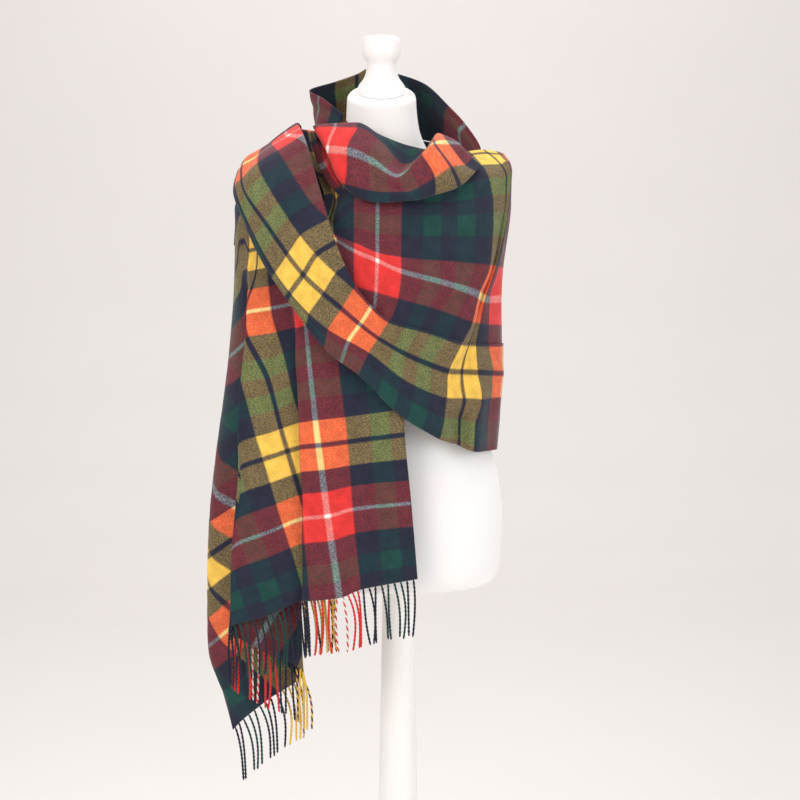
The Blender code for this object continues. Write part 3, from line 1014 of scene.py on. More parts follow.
# ------------------------------------------------------------------------ scarf tables
FRONT_END_S = (0, 80, 150, 220, 290, 345, 400, 465)
FRONT_END = (
    Fold("selvedge", 0,
         (30, 20, 10, 5, -10, -30, -68, -80), (-150, -152, -152, -150, -144, -132, -112, -17),
         (855, 975, 1080, 1190, 1292, 1370, 1440, 1556)),
    Fold("green band", 53,
         (-57, -70, -77, -90, -100, -112, -130, -100),
         (-158, -160, -160, -156, -148, -132, -100, -24),
         (840, 967, 1070, 1177, 1282, 1362, 1442, 1526)),
    Fold("white line", 76,
         (-88, -106, -120, -132, -142, -146, -155, -107),
         (-160, -162, -162, -158, -148, -130, -97, -26),
         (828, 957, 1065, 1172, 1275, 1358, 1440, 1515)),
    Fold("above pleat", 98,
         (-131, -142, -147, -150, -153, -166, -180, -113),
         (-159, -160, -160, -156, -146, -128, -93, -27),
         (823, 953, 1062, 1166, 1272, 1355, 1438, 1505)),
    Fold("pleat edge", (109, 103, 100, 100, 100, 100, 100, 100),
         (-146, -145, -149, -152, -157, -170, -184, -117),
         (-155, -156, -156, -152, -144, -126, -91, -27),
         (822, 950, 1061, 1166, 1272, 1355, 1438, 1503)),
    Fold("pleat inside", (140, 126, 116, 105, 102, 102, 102, 102),
         (-98, -110, -126, -143, -160, -174, -188, -121),
         (-150, -150, -150, -147, -142, -124, -89, -26),
         (828, 956, 1064, 1166, 1272, 1354, 1437, 1501)),
    Fold("under pleat", (171, 149, 131, 111, 104, 104, 104, 104),
         (-142, -143, -147, -152, -163, -178, -192, -125),
         (-144, -145, -145, -143, -140, -122, -87, -25),
         (821, 951, 1060, 1166, 1271, 1354, 1437, 1499)),
    Fold("yellow line", (213, 185, 165, 146, 122, 119, 118, 118),
         (-203, -198, -196, -193, -192, -198, -212, -150),
         (-146, -148, -148, -146, -140, -120, -80, -19),
         (796, 930, 1045, 1150, 1265, 1346, 1432, 1490), s=(0, 80, 150, 220, 290, 350, 422, 465)),
    Fold("left fold", (255, 225, 198, 178, 143, 168, 176, 176),
         (-261, -255, -246, -242, -229, -225, -233, -175),
         (-138, -141, -141, -140, -134, -113, -70, -13),
         (773, 903, 1022, 1138, 1258, 1342, 1428, 1479), s=(0, 80, 150, 220, 290, 352, 426, 465)),
    Fold("behind left fold", (302, 258, 222, 193, 152, 176, 182, 182),
         (-205, -205, -211, -220, -223, -232, -239, -185),
         (-128, -131, -131, -131, -126, -106, -64, -11),
         (735, 880, 988, 1120, 1250, 1339, 1426, 1475)),
    Fold("right fold", (350, 290, 246, 208, 168, 184, 187, 187),
         (-147, -154, -171, -196, -213, -239, -245, -195),
         (-118, -120, -120, -121, -118, -99, -58, -9),
         (700, 855, 942, 1106, 1240, 1336, 1424, 1470)),
    Fold("side white line", (395, 350, 300, 245, 196, 190, 190, 190),
         (-203, -232, -236, -243, -240, -247, -252, -208),
         (-108, -104, -102, -104, -106, -88, -48, -5),
         (655, 795, 922, 1065, 1212, 1328, 1422, 1464), s=(0, 80, 150, 220, 294, 360, 410, 465)),
    Fold("side turn", (425, 405, 344, 273, 218, 205, 203, 203),
         (-248, -301, -299, -283, -263, -254, -256, -226), (-92, -72, -66, -64, -64, -58, -22, 1),
         (615, 733, 877, 1035, 1192, 1310, 1418, 1455), s=(0, 80, 150, 220, 294, 362, 412, 465)),
    Fold("side back", (437, 437, 400, 330, 265, 228, 215, 215),
         (-261, -294, -292, -281, -266, -256, -255, -256), (-86, -44, -14, -8, -4, 0, 14, 13),
         (600, 742, 908, 1062, 1220, 1332, 1432, 1438), s=(0, 80, 150, 220, 290, 356, 408, 465)),
)

LOWER_WRAP_S = (700, 722, 744, 766, 790, 815, 863, 911, 958, 1004, 1060, 1121, 1160, 1188)
LOWER_WRAP = (
    Fold("selvedge, turned in", 437,
         (158, 153, 142, 125, 97, 68, 10, -52, -98, -153, -196, -232, -232, -215),
         (30, -18, -56, -92, -106, -126, -156, -166, -170, -174, -150, -105, -42, -5),
         (1048, 1050, 1055, 1063, 1071, 1083, 1125, 1180, 1222, 1290, 1357, 1440, 1474, 1486)),
    Fold("lower edge", (430, 430, 430, 430, 430, 428, 420, 412, 405, 395, 392, 390, 388, 386),
         (160, 156, 138, 116, 94, 64, 4, -60, -110, -165, -210, -249, -250, -232),
         (32, -24, -64, -108, -108, -138, -161.5, -174, -180, -184, -168, -120, -52, -8),
         (1036, 1038, 1042, 1047, 1056, 1069, 1108, 1170, 1212, 1284, 1354, 1444, 1472, 1490)),
    Fold("over the hem", 408,
         (163, 158, 140, 118, 95, 70, 10, -52, -107, -162, -208, -247, -248, -231),
         (32, -26, -70, -112, -104, -142, -165, -178, -184, -188, -174, -126, -57, -10),
         (1078, 1080, 1083, 1088, 1094, 1100, 1134, 1188, 1227, 1290, 1359, 1448, 1477, 1494)),
    Fold("green and yellow", 384,
         (166, 161, 146, 131, 102, 75, 15, -44, -104, -159, -205, -245, -245, -230),
         (32, -28, -64, -104, -120, -144, -168, -180, -186, -190, -176, -128, -60, -12),
         (1120, 1123, 1125, 1127, 1130, 1133, 1159, 1205, 1240, 1294, 1363, 1450, 1480, 1497)),
    Fold("navy line", 360,
         (169, 163, 147, 122, 97, 78, 20, -30, -84, -140, -190, -238, -238, -222),
         (32, -30, -70, -107, -119, -144, -162, -180, -190, -193, -180, -130, -62, -14),
         (1156, 1160, 1164, 1168, 1170, 1173, 1196, 1226, 1270, 1320, 1388, 1460, 1492, 1507)),
    Fold("yellow and navy", 335,
         (169, 163, 140, 119, 107, 96, 40, -15, -66, -120, -170, -211, -214, -203),
         (32, -30, -80, -111, -117, -142, -162, -182, -190, -192, -180, -130, -62, -16),
         (1201, 1204, 1207, 1210, 1211, 1214, 1234, 1250, 1300, 1350, 1415, 1485, 1507, 1520)),
    Fold("fold over the chest", (333, 333, 333, 333, 333, 333, 333, 333, 331, 322, 303, 288, 268,
          262),
         (169, 163, 140, 119, 107, 96, 40, -14, -63, -92, -116, -142, -152, -158),
         (32, -30, -80, -111, -117, -142, -161, -181, -188, -184, -160, -112, -62, -20),
         (1204, 1207, 1210, 1213, 1214, 1217, 1237, 1253, 1305, 1368, 1445, 1528, 1545, 1552)),
)

UPPER_WRAP_S = (700, 722, 744, 766, 790, 815, 863, 911, 934, 958, 980, 1004, 1029, 1045)
UPPER_WRAP = (
    Fold("under the fold", (337,) * 8 + (335, 333, 333, 333, 333, 333),
         (166.6, 160.8, 138, 117.4, 106, 94.6, 39.6, -13.6, -36, -62, -86, -110, -135, -148),
         (31, -28.8, -77.8, -108.6, -114.6, -139.4, -158.4, -178.4, -172, -168, -166, -164, -160,
          -158),
         (1198, 1201, 1204, 1207, 1208, 1211, 1231, 1247, 1260, 1275, 1287, 1302, 1320, 1330)),
    Fold("red and navy", 313,
         (166, 161, 139, 125, 119, 113, 56, 0, -32, -66, -92, -118, -140, -152),
         (30, -26, -82, -106, -109, -126, -156, -176, -172, -168, -164, -160, -156, -154),
         (1235, 1238, 1242, 1245, 1246, 1248, 1270, 1286, 1295, 1305, 1326, 1348, 1366, 1378)),
    Fold("white line", 290,
         (165, 162, 140, 133, 129, 123, 75, 4, -30, -66, -92, -116, -136, -148),
         (30, -24, -80, -98, -95, -115, -144, -170, -167, -162, -158, -154, -150, -148),
         (1275, 1278, 1279, 1281, 1283, 1288, 1306, 1326, 1341, 1357, 1372, 1390, 1408, 1416)),
    Fold("red and navy above", 266,
         (168, 164, 156, 151, 147, 142, 75, 4, -30, -66, -96, -112, -130, -142),
         (30, -20, -64, -84, -82, -100, -142, -166, -162, -154, -152, -146, -142, -140),
         (1325, 1327, 1329, 1331, 1332, 1333, 1340, 1346, 1352, 1367, 1380, 1392, 1404, 1410)),
    Fold("green", 218,
         (180, 176, 174, 171, 166, 147, 77, 5, -30, -66, -98, -108, -112, -121),
         (30, -20, -38, -54, -56, -84, -122, -144, -146, -144, -142, -134, -136, -135),
         (1425, 1426, 1427, 1428, 1430, 1428, 1420, 1420, 1420, 1424, 1398, 1394, 1400, 1406)),
    Fold("under the roll", (190, 190, 190, 190, 188, 184, 178, 175, 175, 175, 175, 175, 175, 175),
         (180, 177, 176, 174, 168, 136, 80, 10, -26, -62, -91, -95, -98, -112),
         (28, -16, -28, -40, -46, -72, -102, -122, -126, -122, -126, -112, -120, -118),
         (1478, 1480, 1480, 1479, 1472, 1475, 1466, 1462, 1460, 1462, 1429, 1431, 1437, 1434)),
    Fold("shoulder top", 140,
         (168, 166, 160, 155, 136, 112, 76, 12, -28, -66, -106, -111, -117, -129),
         (34, 2, -4, -8, -14, -26, -52, -82, -86, -86, -84, -70, -78, -76),
         (1502, 1505, 1507, 1508, 1510, 1506, 1498, 1490, 1486, 1490, 1478, 1478, 1477, 1480)),
    Fold("pocket", (137,) * 9 + (128, 120, 120, 120, 120),
         (167, 165, 159, 154, 135, 111, 75, 11, -29, -70, -122, -127, -133, -144),
         (38, 6, 0, -4, -10, -22, -48, -78, -80, -76, -52, -36, -48, -46),
         (1503, 1506, 1508, 1509, 1511, 1507, 1499, 1491, 1488, 1498, 1509, 1510, 1509, 1510)),
    Fold("pocket's top", (134,) * 9 + (116, 98, 98, 98, 98),
         (166, 164, 158, 153, 134, 110, 74, 10, -30, -74, -132, -137, -142, -153),
         (42, 10, 4, 0, -6, -18, -44, -74, -76, -68, -30, -14, -26, -20),
         (1503, 1506, 1508, 1509, 1511, 1507, 1499, 1492, 1490, 1508, 1540, 1541, 1541, 1543)),
)

NECK_ROLL_S = (756, 768, 790, 815, 848, 875, 900, 930, 950, 954, 958, 975)
NECK_ROLL = (
    Fold("tucked in", (150, 150, 150, 150, 150, 150, 150, 140, 130, 121, 120, 120),
         (118, 108, 88, 56, 18, -20, -46, -62, -68, -70, -72, -76),
         (-68, -85, -107, -123, -139, -145, -142, -130, -120, -112, -116, -112),
         (1492, 1487, 1470, 1458, 1450, 1448, 1454, 1461, 1470, 1472, 1466, 1462),
         s=(756, 768, 790, 815, 846, 874, 890, 903, 905, 930, 958, 975)),
    Fold("lower rim", 120,
         (128, 118, 93, 55, 20, -21, -50, -69, -74, -74, -73, -76),
         (-74, -92, -120, -142, -156, -160, -154, -139, -128, -120, -130, -126),
         (1484, 1475, 1452, 1440, 1431, 1427, 1432, 1442, 1450, 1448, 1438, 1434),
         s=(754, 766, 790, 815, 848, 875, 892, 905, 908, 932, 958, 975)),
    Fold("red edge", 100,
         (114, 101, 80, 55, 12, -26, -57, -84, -88, -86, -89, -97),
         (-80, -98, -128, -148, -160, -160, -155, -140, -130, -98, -124, -122),
         (1496, 1485, 1481, 1465, 1443, 1443, 1449, 1457, 1461, 1460, 1452, 1446),
         s=(754, 766, 790, 815, 854, 880, 898, 914, 918, 938, 958, 975)),
    Fold("white line", (76, 76, 79, 93, 81, 76, 76, 76, 76, 76, 76, 76),
         (94, 74, 56, 36, 0, -38, -77, -108, -109, -106, -112, -120),
         (-70, -86, -112, -138, -152, -142, -132, -114, -104, -76, -103, -102),
         (1518, 1520, 1516, 1500, 1463, 1490, 1505, 1509, 1510, 1500, 1486, 1482),
         s=(754, 766, 790, 815, 857, 885, 911, 937, 940, 950, 959, 975)),
    Fold("red top", (62, 62, 58, 53, 53, 53, 53, 53, 53, 53, 53, 53),
         (84, 66, 54, 42, 10, -26, -62, -121, -126, -122, -125, -132),
         (-58, -72, -84, -104, -118, -108, -102, -90, -82, -58, -86, -84),
         (1526, 1530, 1524, 1505, 1484, 1520, 1540, 1541, 1538, 1528, 1516, 1513),
         s=(755, 768, 790, 815, 857, 885, 911, 952, 956, 959, 962, 975)),
    Fold("top edge", (55, 55, 40, 8, 5, 32, 47, 50, 50, 48, 46, 46),
         (80, 62, 50, 41, 16, -27, -64, -124, -130, -124, -127, -135),
         (-48, -60, -66, -80, -96, -94, -88, -80, -72, -60, -78, -76),
         (1528, 1534, 1520, 1509, 1514, 1530, 1549, 1546, 1544, 1534, 1524, 1520),
         s=(756, 770, 790, 815, 857, 885, 911, 955, 958, 961, 964, 975)),
)

COLLAR_S = (465, 500, 530, 552, 576, 600, 626, 660, 697, 720, 744, 762)
COLLAR = (
    Fold("selvedge", 0,
         (-86, -120, -142, -102, -68, -42, -2, 42, 80, 106, 131, 130),
         (-8, 24, 56, 76, 90, 98, 96, 72, 42, 26, 8, -26),
         (1566, 1594, 1608, 1623, 1636, 1648, 1638, 1620, 1583, 1554, 1512, 1490)),
    Fold("navy and green", 30,
         (-93, -125, -138, -102, -68, -40, -4, 40, 74, 98, 124, 126),
         (-10, 26, 72, 94, 106, 112, 108, 84, 54, 36, 14, -20),
         (1546, 1568, 1578, 1594, 1606, 1612, 1608, 1594, 1566, 1542, 1503, 1480)),
    Fold("green band", (46, 46, 47, 50, 56, 60, 56, 51, 48, 47, 46, 46),
         (-101, -130, -134, -98, -66, -38, -5, 38, 74, 100, 122, 126),
         (-14, 30, 86, 110, 120, 124, 120, 96, 68, 42, 20, -12),
         (1524, 1544, 1552, 1566, 1577, 1582, 1580, 1568, 1545, 1526, 1496, 1474)),
    Fold("base", (52, 52, 52, 54, 72, 90, 66, 53, 52, 52, 51, 51),
         (-112, -137, -136, -98, -66, -36, -5, 36, 76, 106, 130, 140),
         (-16, 36, 96, 120, 130, 134, 130, 108, 80, 50, 24, -2),
         (1506, 1518, 1520, 1530, 1538, 1543, 1543, 1533, 1523, 1510, 1496, 1484)),
)

BACK_WRAP_LEVELS = (0, 1, 2, 3, 4)
BACK_WRAP = (
    Fold("left side", (214, 265, 330, 400, 437),
         (-252.5, -262, -277, -289, -291), (6, -14, -17, -23, -50),
         (1440, 1221, 1062, 906, 748), s=(408, 290, 220, 150, 80)),
    Fold("left fall", (102, 195, 285, 370, 437),
         (-118, -212, -238, -246, -236), (-14, 62, 74, 72, 62),
         (1508, 1400, 1230, 1060, 900), s=(462, 402, 352, 292, 253)),
    Fold("left blade", (102, 190, 275, 355, 437),
         (-138, -168, -176, -172, -160), (38, 108, 128, 130, 122),
         (1516, 1392, 1246, 1104, 955), s=(500, 452, 418, 380, 352)),
    Fold("left of middle", (102, 185, 270, 355, 437),
         (-98, -92, -86, -80, -72), (122, 142, 142, 146, 150),
         (1528, 1394, 1252, 1110, 975), s=(552, 512, 484, 456, 436)),
    Fold("middle", (102, 185, 270, 355, 437),
         (-36, -26, -16, -6, 4), (136, 146, 146, 148, 152),
         (1541, 1402, 1262, 1122, 990), s=(600, 562, 538, 516, 504)),
    Fold("right of middle", (102, 185, 270, 355, 437),
         (36, 50, 58, 64, 68), (110, 138, 142, 142, 142),
         (1531, 1404, 1268, 1130, 1005), s=(660, 618, 592, 574, 564)),
    Fold("right blade", (102, 190, 275, 360, 437),
         (84, 116, 118, 118, 116), (78, 104, 112, 110, 104),
         (1520, 1410, 1275, 1140, 1022), s=(690, 660, 640, 628, 621)),
    Fold("right side", (140, 214, 290, 362, 437),
         (163.5, 176.5, 161.5, 165.5, 154.5), (25, 21, 21, 23, 22),
         (1502, 1430, 1275, 1154, 1049), s=(699, 699, 699, 699, 699)),
)

BACK_END_S = (1189, 1215, 1250, 1291)
BACK_END = (
    Fold("outer edge", 386, (-232, -252, -264, -270), (-6, 62, 98, 106), (1490, 1476, 1425, 1360)),
    Fold("outer fold", 345, (-210, -228, -238, -242), (-13, 92, 130, 138),
         (1514, 1486, 1432, 1366)),
    Fold("valley", 300, (-183, -196, -204, -207), (-17, 84, 118, 124), (1536, 1492, 1440, 1374)),
    Fold("inner fold", 262, (-158, -170, -172, -172), (-18, 112, 156, 164),
         (1552, 1500, 1446, 1380)),
    Fold("gathered edge", 240, (-152, -153, -150, -148), (-12, 104, 148, 156),
         (1547, 1500, 1448, 1384)),
)

# Creases of each stretch: cloth coordinates (s, t) that they run through, rise and width.
HANGING_CREASES = (
    Crease(((20, 30), (140, 34), (300, 26)), -3.0, 9),
    Crease(((40, 64), (180, 67), (330, 58)), 2.5, 8),
    Crease(((10, 190), (120, 168), (240, 140)), 3.5, 11),
    Crease(((30, 226), (130, 196), (235, 160)), -3.5, 10),
    Crease(((20, 330), (90, 285), (180, 225)), -3.5, 11),
    Crease(((40, 400), (140, 340), (260, 250)), 3.0, 12),
    Crease(((230, 18), (290, 50), (335, 82)), -2.5, 9),
)
LOWER_CREASES = (
    Crease(((905, 372), (1000, 350), (1100, 325)), -3.0, 9),
    Crease(((860, 405), (950, 386), (1060, 372)), 2.5, 8),
    Crease(((735, 398), (790, 378), (860, 350)), -3.0, 9),
    Crease(((705, 362), (765, 352)), 2.5, 8),
    Crease(((800, 420), (850, 395), (905, 360)), 3.0, 9),
    Crease(((1075, 382), (1130, 352), (1170, 330)), -2.5, 9),
)
CHEST_CREASES = (
    Crease(((800, 205), (860, 212), (930, 196)), -3.0, 8),
    Crease(((820, 232), (880, 238), (945, 224)), 2.5, 8),
    Crease(((835, 262), (890, 272), (950, 256)), -2.0, 8),
    Crease(((820, 290), (870, 298), (920, 290)), 2.5, 9),
    Crease(((703, 228), (725, 246), (742, 275)), -2.5, 8),
    Crease(((905, 318), (940, 290), (962, 250)), 2.0, 8),
)
COWL_CREASES = (
    Crease(((785, 108), (840, 110), (885, 105)), 2.5, 7),
    Crease(((800, 92), (850, 97), (905, 88)), -2.5, 6),
    Crease(((880, 64), (905, 72), (930, 92)), 2.0, 6),
)
COLLAR_CREASES = (
    Crease(((480, 16), (520, 26), (560, 30)), -2.5, 8),
    Crease(((600, 38), (650, 30), (700, 18)), 2.5, 9),
    Crease(((690, 30), (725, 22), (752, 28)), -2.0, 7),
)
BACK_CREASES = (
    Crease(((640, 130), (590, 220), (560, 330)), -5.0, 13),
    Crease(((600, 140), (548, 240), (505, 350)), 4.0, 14),
    Crease(((540, 135), (490, 230), (450, 330)), -4.5, 13),
    Crease(((675, 250), (640, 310), (605, 400)), 3.5, 13),
    Crease(((480, 160), (430, 250), (380, 350)), 4.0, 14),
    Crease(((430, 180), (370, 270), (300, 360)), -4.5, 14),
    Crease(((350, 250), (290, 310), (220, 380)), 3.5, 13),
    Crease(((560, 300), (530, 370), (505, 425)), -3.0, 12),
)
THROWN_CREASES = (
    Crease(((1200, 330), (1245, 325), (1288, 322)), -2.5, 8),
    Crease(((1210, 280), (1250, 284), (1285, 282)), 2.5, 8),
    Crease(((1195, 360), (1240, 366), (1285, 365)), 2.0, 7),
)


# ------------------------------------------------------------------------ turned and oval shapes
@dataclass(frozen=True)
class Ring:
    """One level of a lofted shape, in millimetres.

    Args:
        z: height of its middle.
        width: half width.
        depth: half depth.
        x: place of its middle to the right.
        y: place of its middle to the back.
        slope: rise of the ring for each step to the back.
    """

    z: float
    width: float
    depth: float
    x: float = 0.0
    y: float = 0.0
    slope: float = 0.0

    def place(self) -> Matrix:
        """Find where this ring lies.

        Returns:
            The matrix that takes the unit circle on the floor to it.
        """
        lean = self.slope * self.depth * MM
        return Matrix((
            (self.width * MM, 0.0, 0.0, self.x * MM),
            (0.0, self.depth * MM, 0.0, self.y * MM),
            (0.0, lean, 1.0, self.z * MM),
            (0.0, 0.0, 0.0, 1.0),
        ))


def turned(profile: Iterable[tuple[float, float]]) -> list[Ring]:
    """Rings of a turned shape from the height and radius of each."""
    return [Ring(z, radius, radius) for z, radius in profile]


def eased(rings: list[Ring], steps: int) -> list[Ring]:
    """Rings on a smooth curve through the ones given, so many steps from one to the next."""
    table = np.array([(r.z, r.width, r.depth, r.x, r.y, r.slope) for r in rings])
    return [Ring(*(float(v) for v in row)) for row in smooth_through(table, steps)]


def loft(name: str, rings: list[Ring], sides: int) -> bpy.types.Object:
    """Extrude a circle from ring to ring into one closed solid.

    Args:
        name: the piece's name.
        rings: its levels, lowest first.
        sides: points round each ring.

    Returns:
        The piece.
    """
    bm = bmesh.new()
    bmesh.ops.create_circle(bm, segments=sides, radius=1.0)
    bmesh.ops.transform(bm, matrix=rings[0].place(), verts=bm.verts)
    edges = bm.edges[:]
    ends = [edges]
    for ring, after in zip(rings, rings[1:]):
        verts, edges = grow(bm, edges)
        bmesh.ops.transform(bm, matrix=after.place() @ ring.place().inverted(), verts=verts)
    ends.append(edges)
    for rim in ends:
        cap = bmesh.ops.edgeloop_fill(bm, edges=rim)["faces"]
        bmesh.ops.inset_region(bm, faces=cap, thickness=CAP_INSET)
    bmesh.ops.recalc_face_normals(bm, faces=bm.faces)
    piece = finished(name, bm)
    piece.data.set_sharp_from_angle(angle=CRISP_ANGLE)
    return piece


@dataclass
class DressForm:
    """The limbless body, with its neck cap and knob.

    Args:
        levels: z, half width, half depth, x and y of each level of the body.
        neck_start: height where the levels start to tilt.
        neck_top: height of the last level.
        tilt: tilt of the neck's top in degrees.
        seat: place of the cap's seat.
        cap: height above the seat and radius of each ring of the cap.
        sides: points round each level of the body.
        cap_sides: points round each ring of the cap.
    """

    levels: tuple[tuple[float, float, float, float, float], ...] = (
        (815.4, 118, 73, 0, 0), (816.5, 130, 82, 0, 0), (820, 143, 93, 0, 0),
        (833, 157.6, 104.6, 0, 0),
        (855, 164, 110, 0, 0), (930, 167, 112, 0, 0), (990, 162, 108, -1, 0),
        (1060, 144, 98, -3, 0), (1130, 126, 90, -6, 0), (1210, 132, 96, -9, 0),
        (1290, 144, 108, -12, -2), (1360, 152, 102, -15, -2), (1420, 148, 86, -18, 0),
        (1450, 130, 77, -20, 2), (1474, 106, 70, -22, 4), (1496, 82, 64, -23, 5),
        (1518, 67, 59, -24, 4), (1545, 58, 56, -25, 2), (1575, 55, 54, -26, 0),
        (1592, 54, 53, -26, -1), (1598, 51, 50, -26, -1), (1601.5, 46, 46, -26, -2),
    )
    neck_start: float = 1545
    neck_top: float = 1602
    tilt: float = 20
    seat: tuple[float, float, float] = (-26, -2, 1601.2)
    cap: tuple[tuple[float, float], ...] = (
        (0.3, 37), (1.0, 38), (5, 38), (7, 37.4), (12, 34.6), (22, 27.6), (34, 23.8), (44, 23),
        (50, 25.6), (56, 29), (61, 30.4), (66, 30.8), (72, 30.6), (78, 29.7), (83, 28), (86, 24),
        (87, 16),
    )
    sides: int = 128
    cap_sides: int = 96

    def build(self) -> tuple[bpy.types.Object, bpy.types.Object]:
        """Build the body and the cap, whose foot has the neck's tilt and whose knob has none.

        Returns:
            The body and the cap.
        """
        lean = math.tan(math.radians(self.tilt))
        rings = []
        for z, width, depth, x, y in self.levels:
            share = max(0.0, (z - self.neck_start) / (self.neck_top - self.neck_start))
            slope = share * lean
            rings.append(Ring(z + y * slope, width, depth, x, y, slope))
        body = loft("form_body", eased(rings, 4), self.sides)
        seat_x, seat_y, seat_z = self.seat
        top = self.cap[-1][0]
        caps = [Ring(seat_z + z, radius, radius, seat_x, seat_y, lean * (1 - z / top))
                for z, radius in self.cap]
        return body, loft("form_neck_cap", eased(caps, 3), self.cap_sides)

    def dress(self, body: bpy.types.Object, cap: bpy.types.Object) -> None:
        """Cover the body in jersey and lacquer the cap."""
        settle(body, JERSEY.make(), Slot.JERSEY, "form_torso")
        settle(cap, LACQUER.make(), Slot.LACQUER, "form_cap")


@dataclass
class Stand:
    """The turned pole and the round base.

    Args:
        base_radius: radius of the base.
        base_thick: thickness of the base.
        foot_edge: rounding of the base's lower edge, as heights over its underside and how
            far each is in from its rim.
        rim_edge: rounding of its upper edge, as depths under its top and the same.
        flange_radius: radius of the flange at the pole's foot.
        flange_high: height of the flange.
        foot_radius: radius of the pole just over its flange.
        top_radius: radius of the pole at the body.
        top: height of the body's underside.
        gap: gap between pieces that touch.
        pole_steps: rings along the pole.
        sides: points round each ring.
    """

    base_radius: float = 180
    base_thick: float = 18
    foot_edge: tuple[tuple[float, float], ...] = ((0.0, 4), (0.6, 2), (1.8, 0.7), (3.6, 0))
    rim_edge: tuple[tuple[float, float], ...] = (
        (6, 0), (3.4, 0.8), (1.4, 2.6), (0.4, 5.2), (0, 9),
    )
    flange_radius: float = 48
    flange_high: float = 16
    foot_radius: float = 40
    top_radius: float = 25
    top: float = 815
    gap: float = 0.3
    pole_steps: int = 12
    sides: int = 96

    def build(self) -> tuple[bpy.types.Object, bpy.types.Object]:
        """Turn the base and the pole.

        Returns:
            The base and the pole.
        """
        wide, thick = self.base_radius, self.base_thick
        plate = [(height, wide - inset) for height, inset in self.foot_edge]
        plate += [(thick - depth, wide - inset) for depth, inset in self.rim_edge]
        foot = thick + self.gap
        rim = foot + self.flange_high
        start = rim + 3
        pole = [
            (foot, self.flange_radius - 1), (foot + 1, self.flange_radius),
            (rim - 4, self.flange_radius), (rim - 1.5, self.flange_radius - 1.5),
            (rim, self.flange_radius - 4), (rim + 0.6, self.foot_radius + 1.6),
            (start, self.foot_radius),
        ]
        for step in range(1, self.pole_steps + 1):
            part = step / self.pole_steps
            radius = self.foot_radius + (self.top_radius - self.foot_radius) * part
            pole.append((start + (self.top - self.gap - start) * part, radius))
        return (loft("stand_base_plate", turned(plate), self.sides),
                loft("stand_turned_pole", turned(pole), self.sides))

    def dress(self, base: bpy.types.Object, pole: bpy.types.Object) -> None:
        """Paint the base and the pole.

        Args:
            base: the base.
            pole: the pole.
        """
        paint = PAINT.make()
        settle(base, paint, Slot.WOOD, "stand_base")
        settle(pole, paint, Slot.WOOD, "stand_pole")


# ------------------------------------------------------------------------ the scarf
@dataclass
class BlanketScarf:
    """Every stretch of the wound scarf, and its two fringes.

    Args:
        stretches: the stretches, from the front hem to the back hem.
        fringes: the front hem's fringe and the back hem's.
    """

    stretches: tuple[Stretch, ...]
    fringes: tuple[Fringe, Fringe]

    def build(self) -> None:
        """Build the stretches, then the tassels on their hems."""
        for stretch in self.stretches:
            stretch.build()
        front, back = self.stretches[0], self.stretches[-1]
        back_t = back.surface()[:, -1, 4]
        order = np.argsort(back_t)
        self.fringes[0].build(front.points[:, 0], front.surface()[:, 0, 4])
        self.fringes[1].build(back.points[:, -1][order], back_t[order])

    def dress(self) -> None:
        """Dye the cloth and its yarn, give them to the stretches and fringes, and measure each
        stretch's cut.
        """
        cloth = BrushedTartan().make()
        yarn = TwistedYarn().make()
        for stretch in self.stretches:
            stretch.dress(cloth)
        for fringe in self.fringes:
            fringe.dress(yarn)
        ends = {self.stretches[0].name: [self.fringes[0].name],
                self.stretches[-1].name: [self.fringes[1].name]}
        for stretch in self.stretches:
            stretch.declare(ends.get(stretch.name, []))


def wound_scarf() -> BlanketScarf:
    """Put the scarf together as it is wound.

    Returns:
        The scarf, with its stretches from the front hem to the back hem.
    """
    stretches = (
        Stretch("scarf_hanging_end", "scarf_front_end", FRONT_END_S, FRONT_END, 12, 18,
                Hold.FOLDED, ("form_body",), HANGING_CREASES),
        Stretch("scarf_lower_sweep", "scarf_lower_wrap", LOWER_WRAP_S, LOWER_WRAP, 14, 10,
                Hold.DRAPED, ("scarf_hanging_end",), LOWER_CREASES),
        Stretch("scarf_chest_sweep", "scarf_upper_wrap", UPPER_WRAP_S, UPPER_WRAP, 12, 12,
                Hold.DRAPED, ("form_body",), CHEST_CREASES),
        Stretch("scarf_cowl", "scarf_neck_roll", NECK_ROLL_S, NECK_ROLL, 14, 16,
                Hold.GATHERED, ("scarf_chest_sweep",), COWL_CREASES, tucked=0.16),
        Stretch("scarf_neck_edge", "scarf_collar", COLLAR_S, COLLAR, 14, 10,
                Hold.DRAPED, ("form_body",), COLLAR_CREASES, tucked=0.2),
        Stretch("scarf_back_sweep", "scarf_back_wrap", BACK_WRAP_LEVELS, BACK_WRAP, 14, 28,
                Hold.DRAPED, ("form_body",), BACK_CREASES),
        Stretch("scarf_thrown_end", "scarf_back_end", BACK_END_S, BACK_END, 14, 18,
                Hold.HUNG, ("scarf_back_sweep",), THROWN_CREASES),
    )
    front = ("fringe_front", "fringe_left", "fringe_inner", "fringe_side")
    fringes = (Fringe("fringe_hanging_end", front, seed=11),
               Fringe("fringe_thrown_end", ("fringe_back",), seed=23))
    return BlanketScarf(stretches, fringes)


# ------------------------------------------------------------------------ the studio
def stand_at(thing: bpy.types.Object, place: tuple[float, float, float],
             target: tuple[float, float, float]) -> None:
    """Put a lamp or a camera at its place, pointed at its target.

    Args:
        thing: the lamp or camera.
        place: where it stands, in metres.
        target: what it points at.
    """
    thing.location = place
    way = Vector(target) - Vector(place)
    thing.rotation_euler = way.to_track_quat("-Z", "Y").to_euler()
    bpy.context.scene.collection.objects.link(thing)


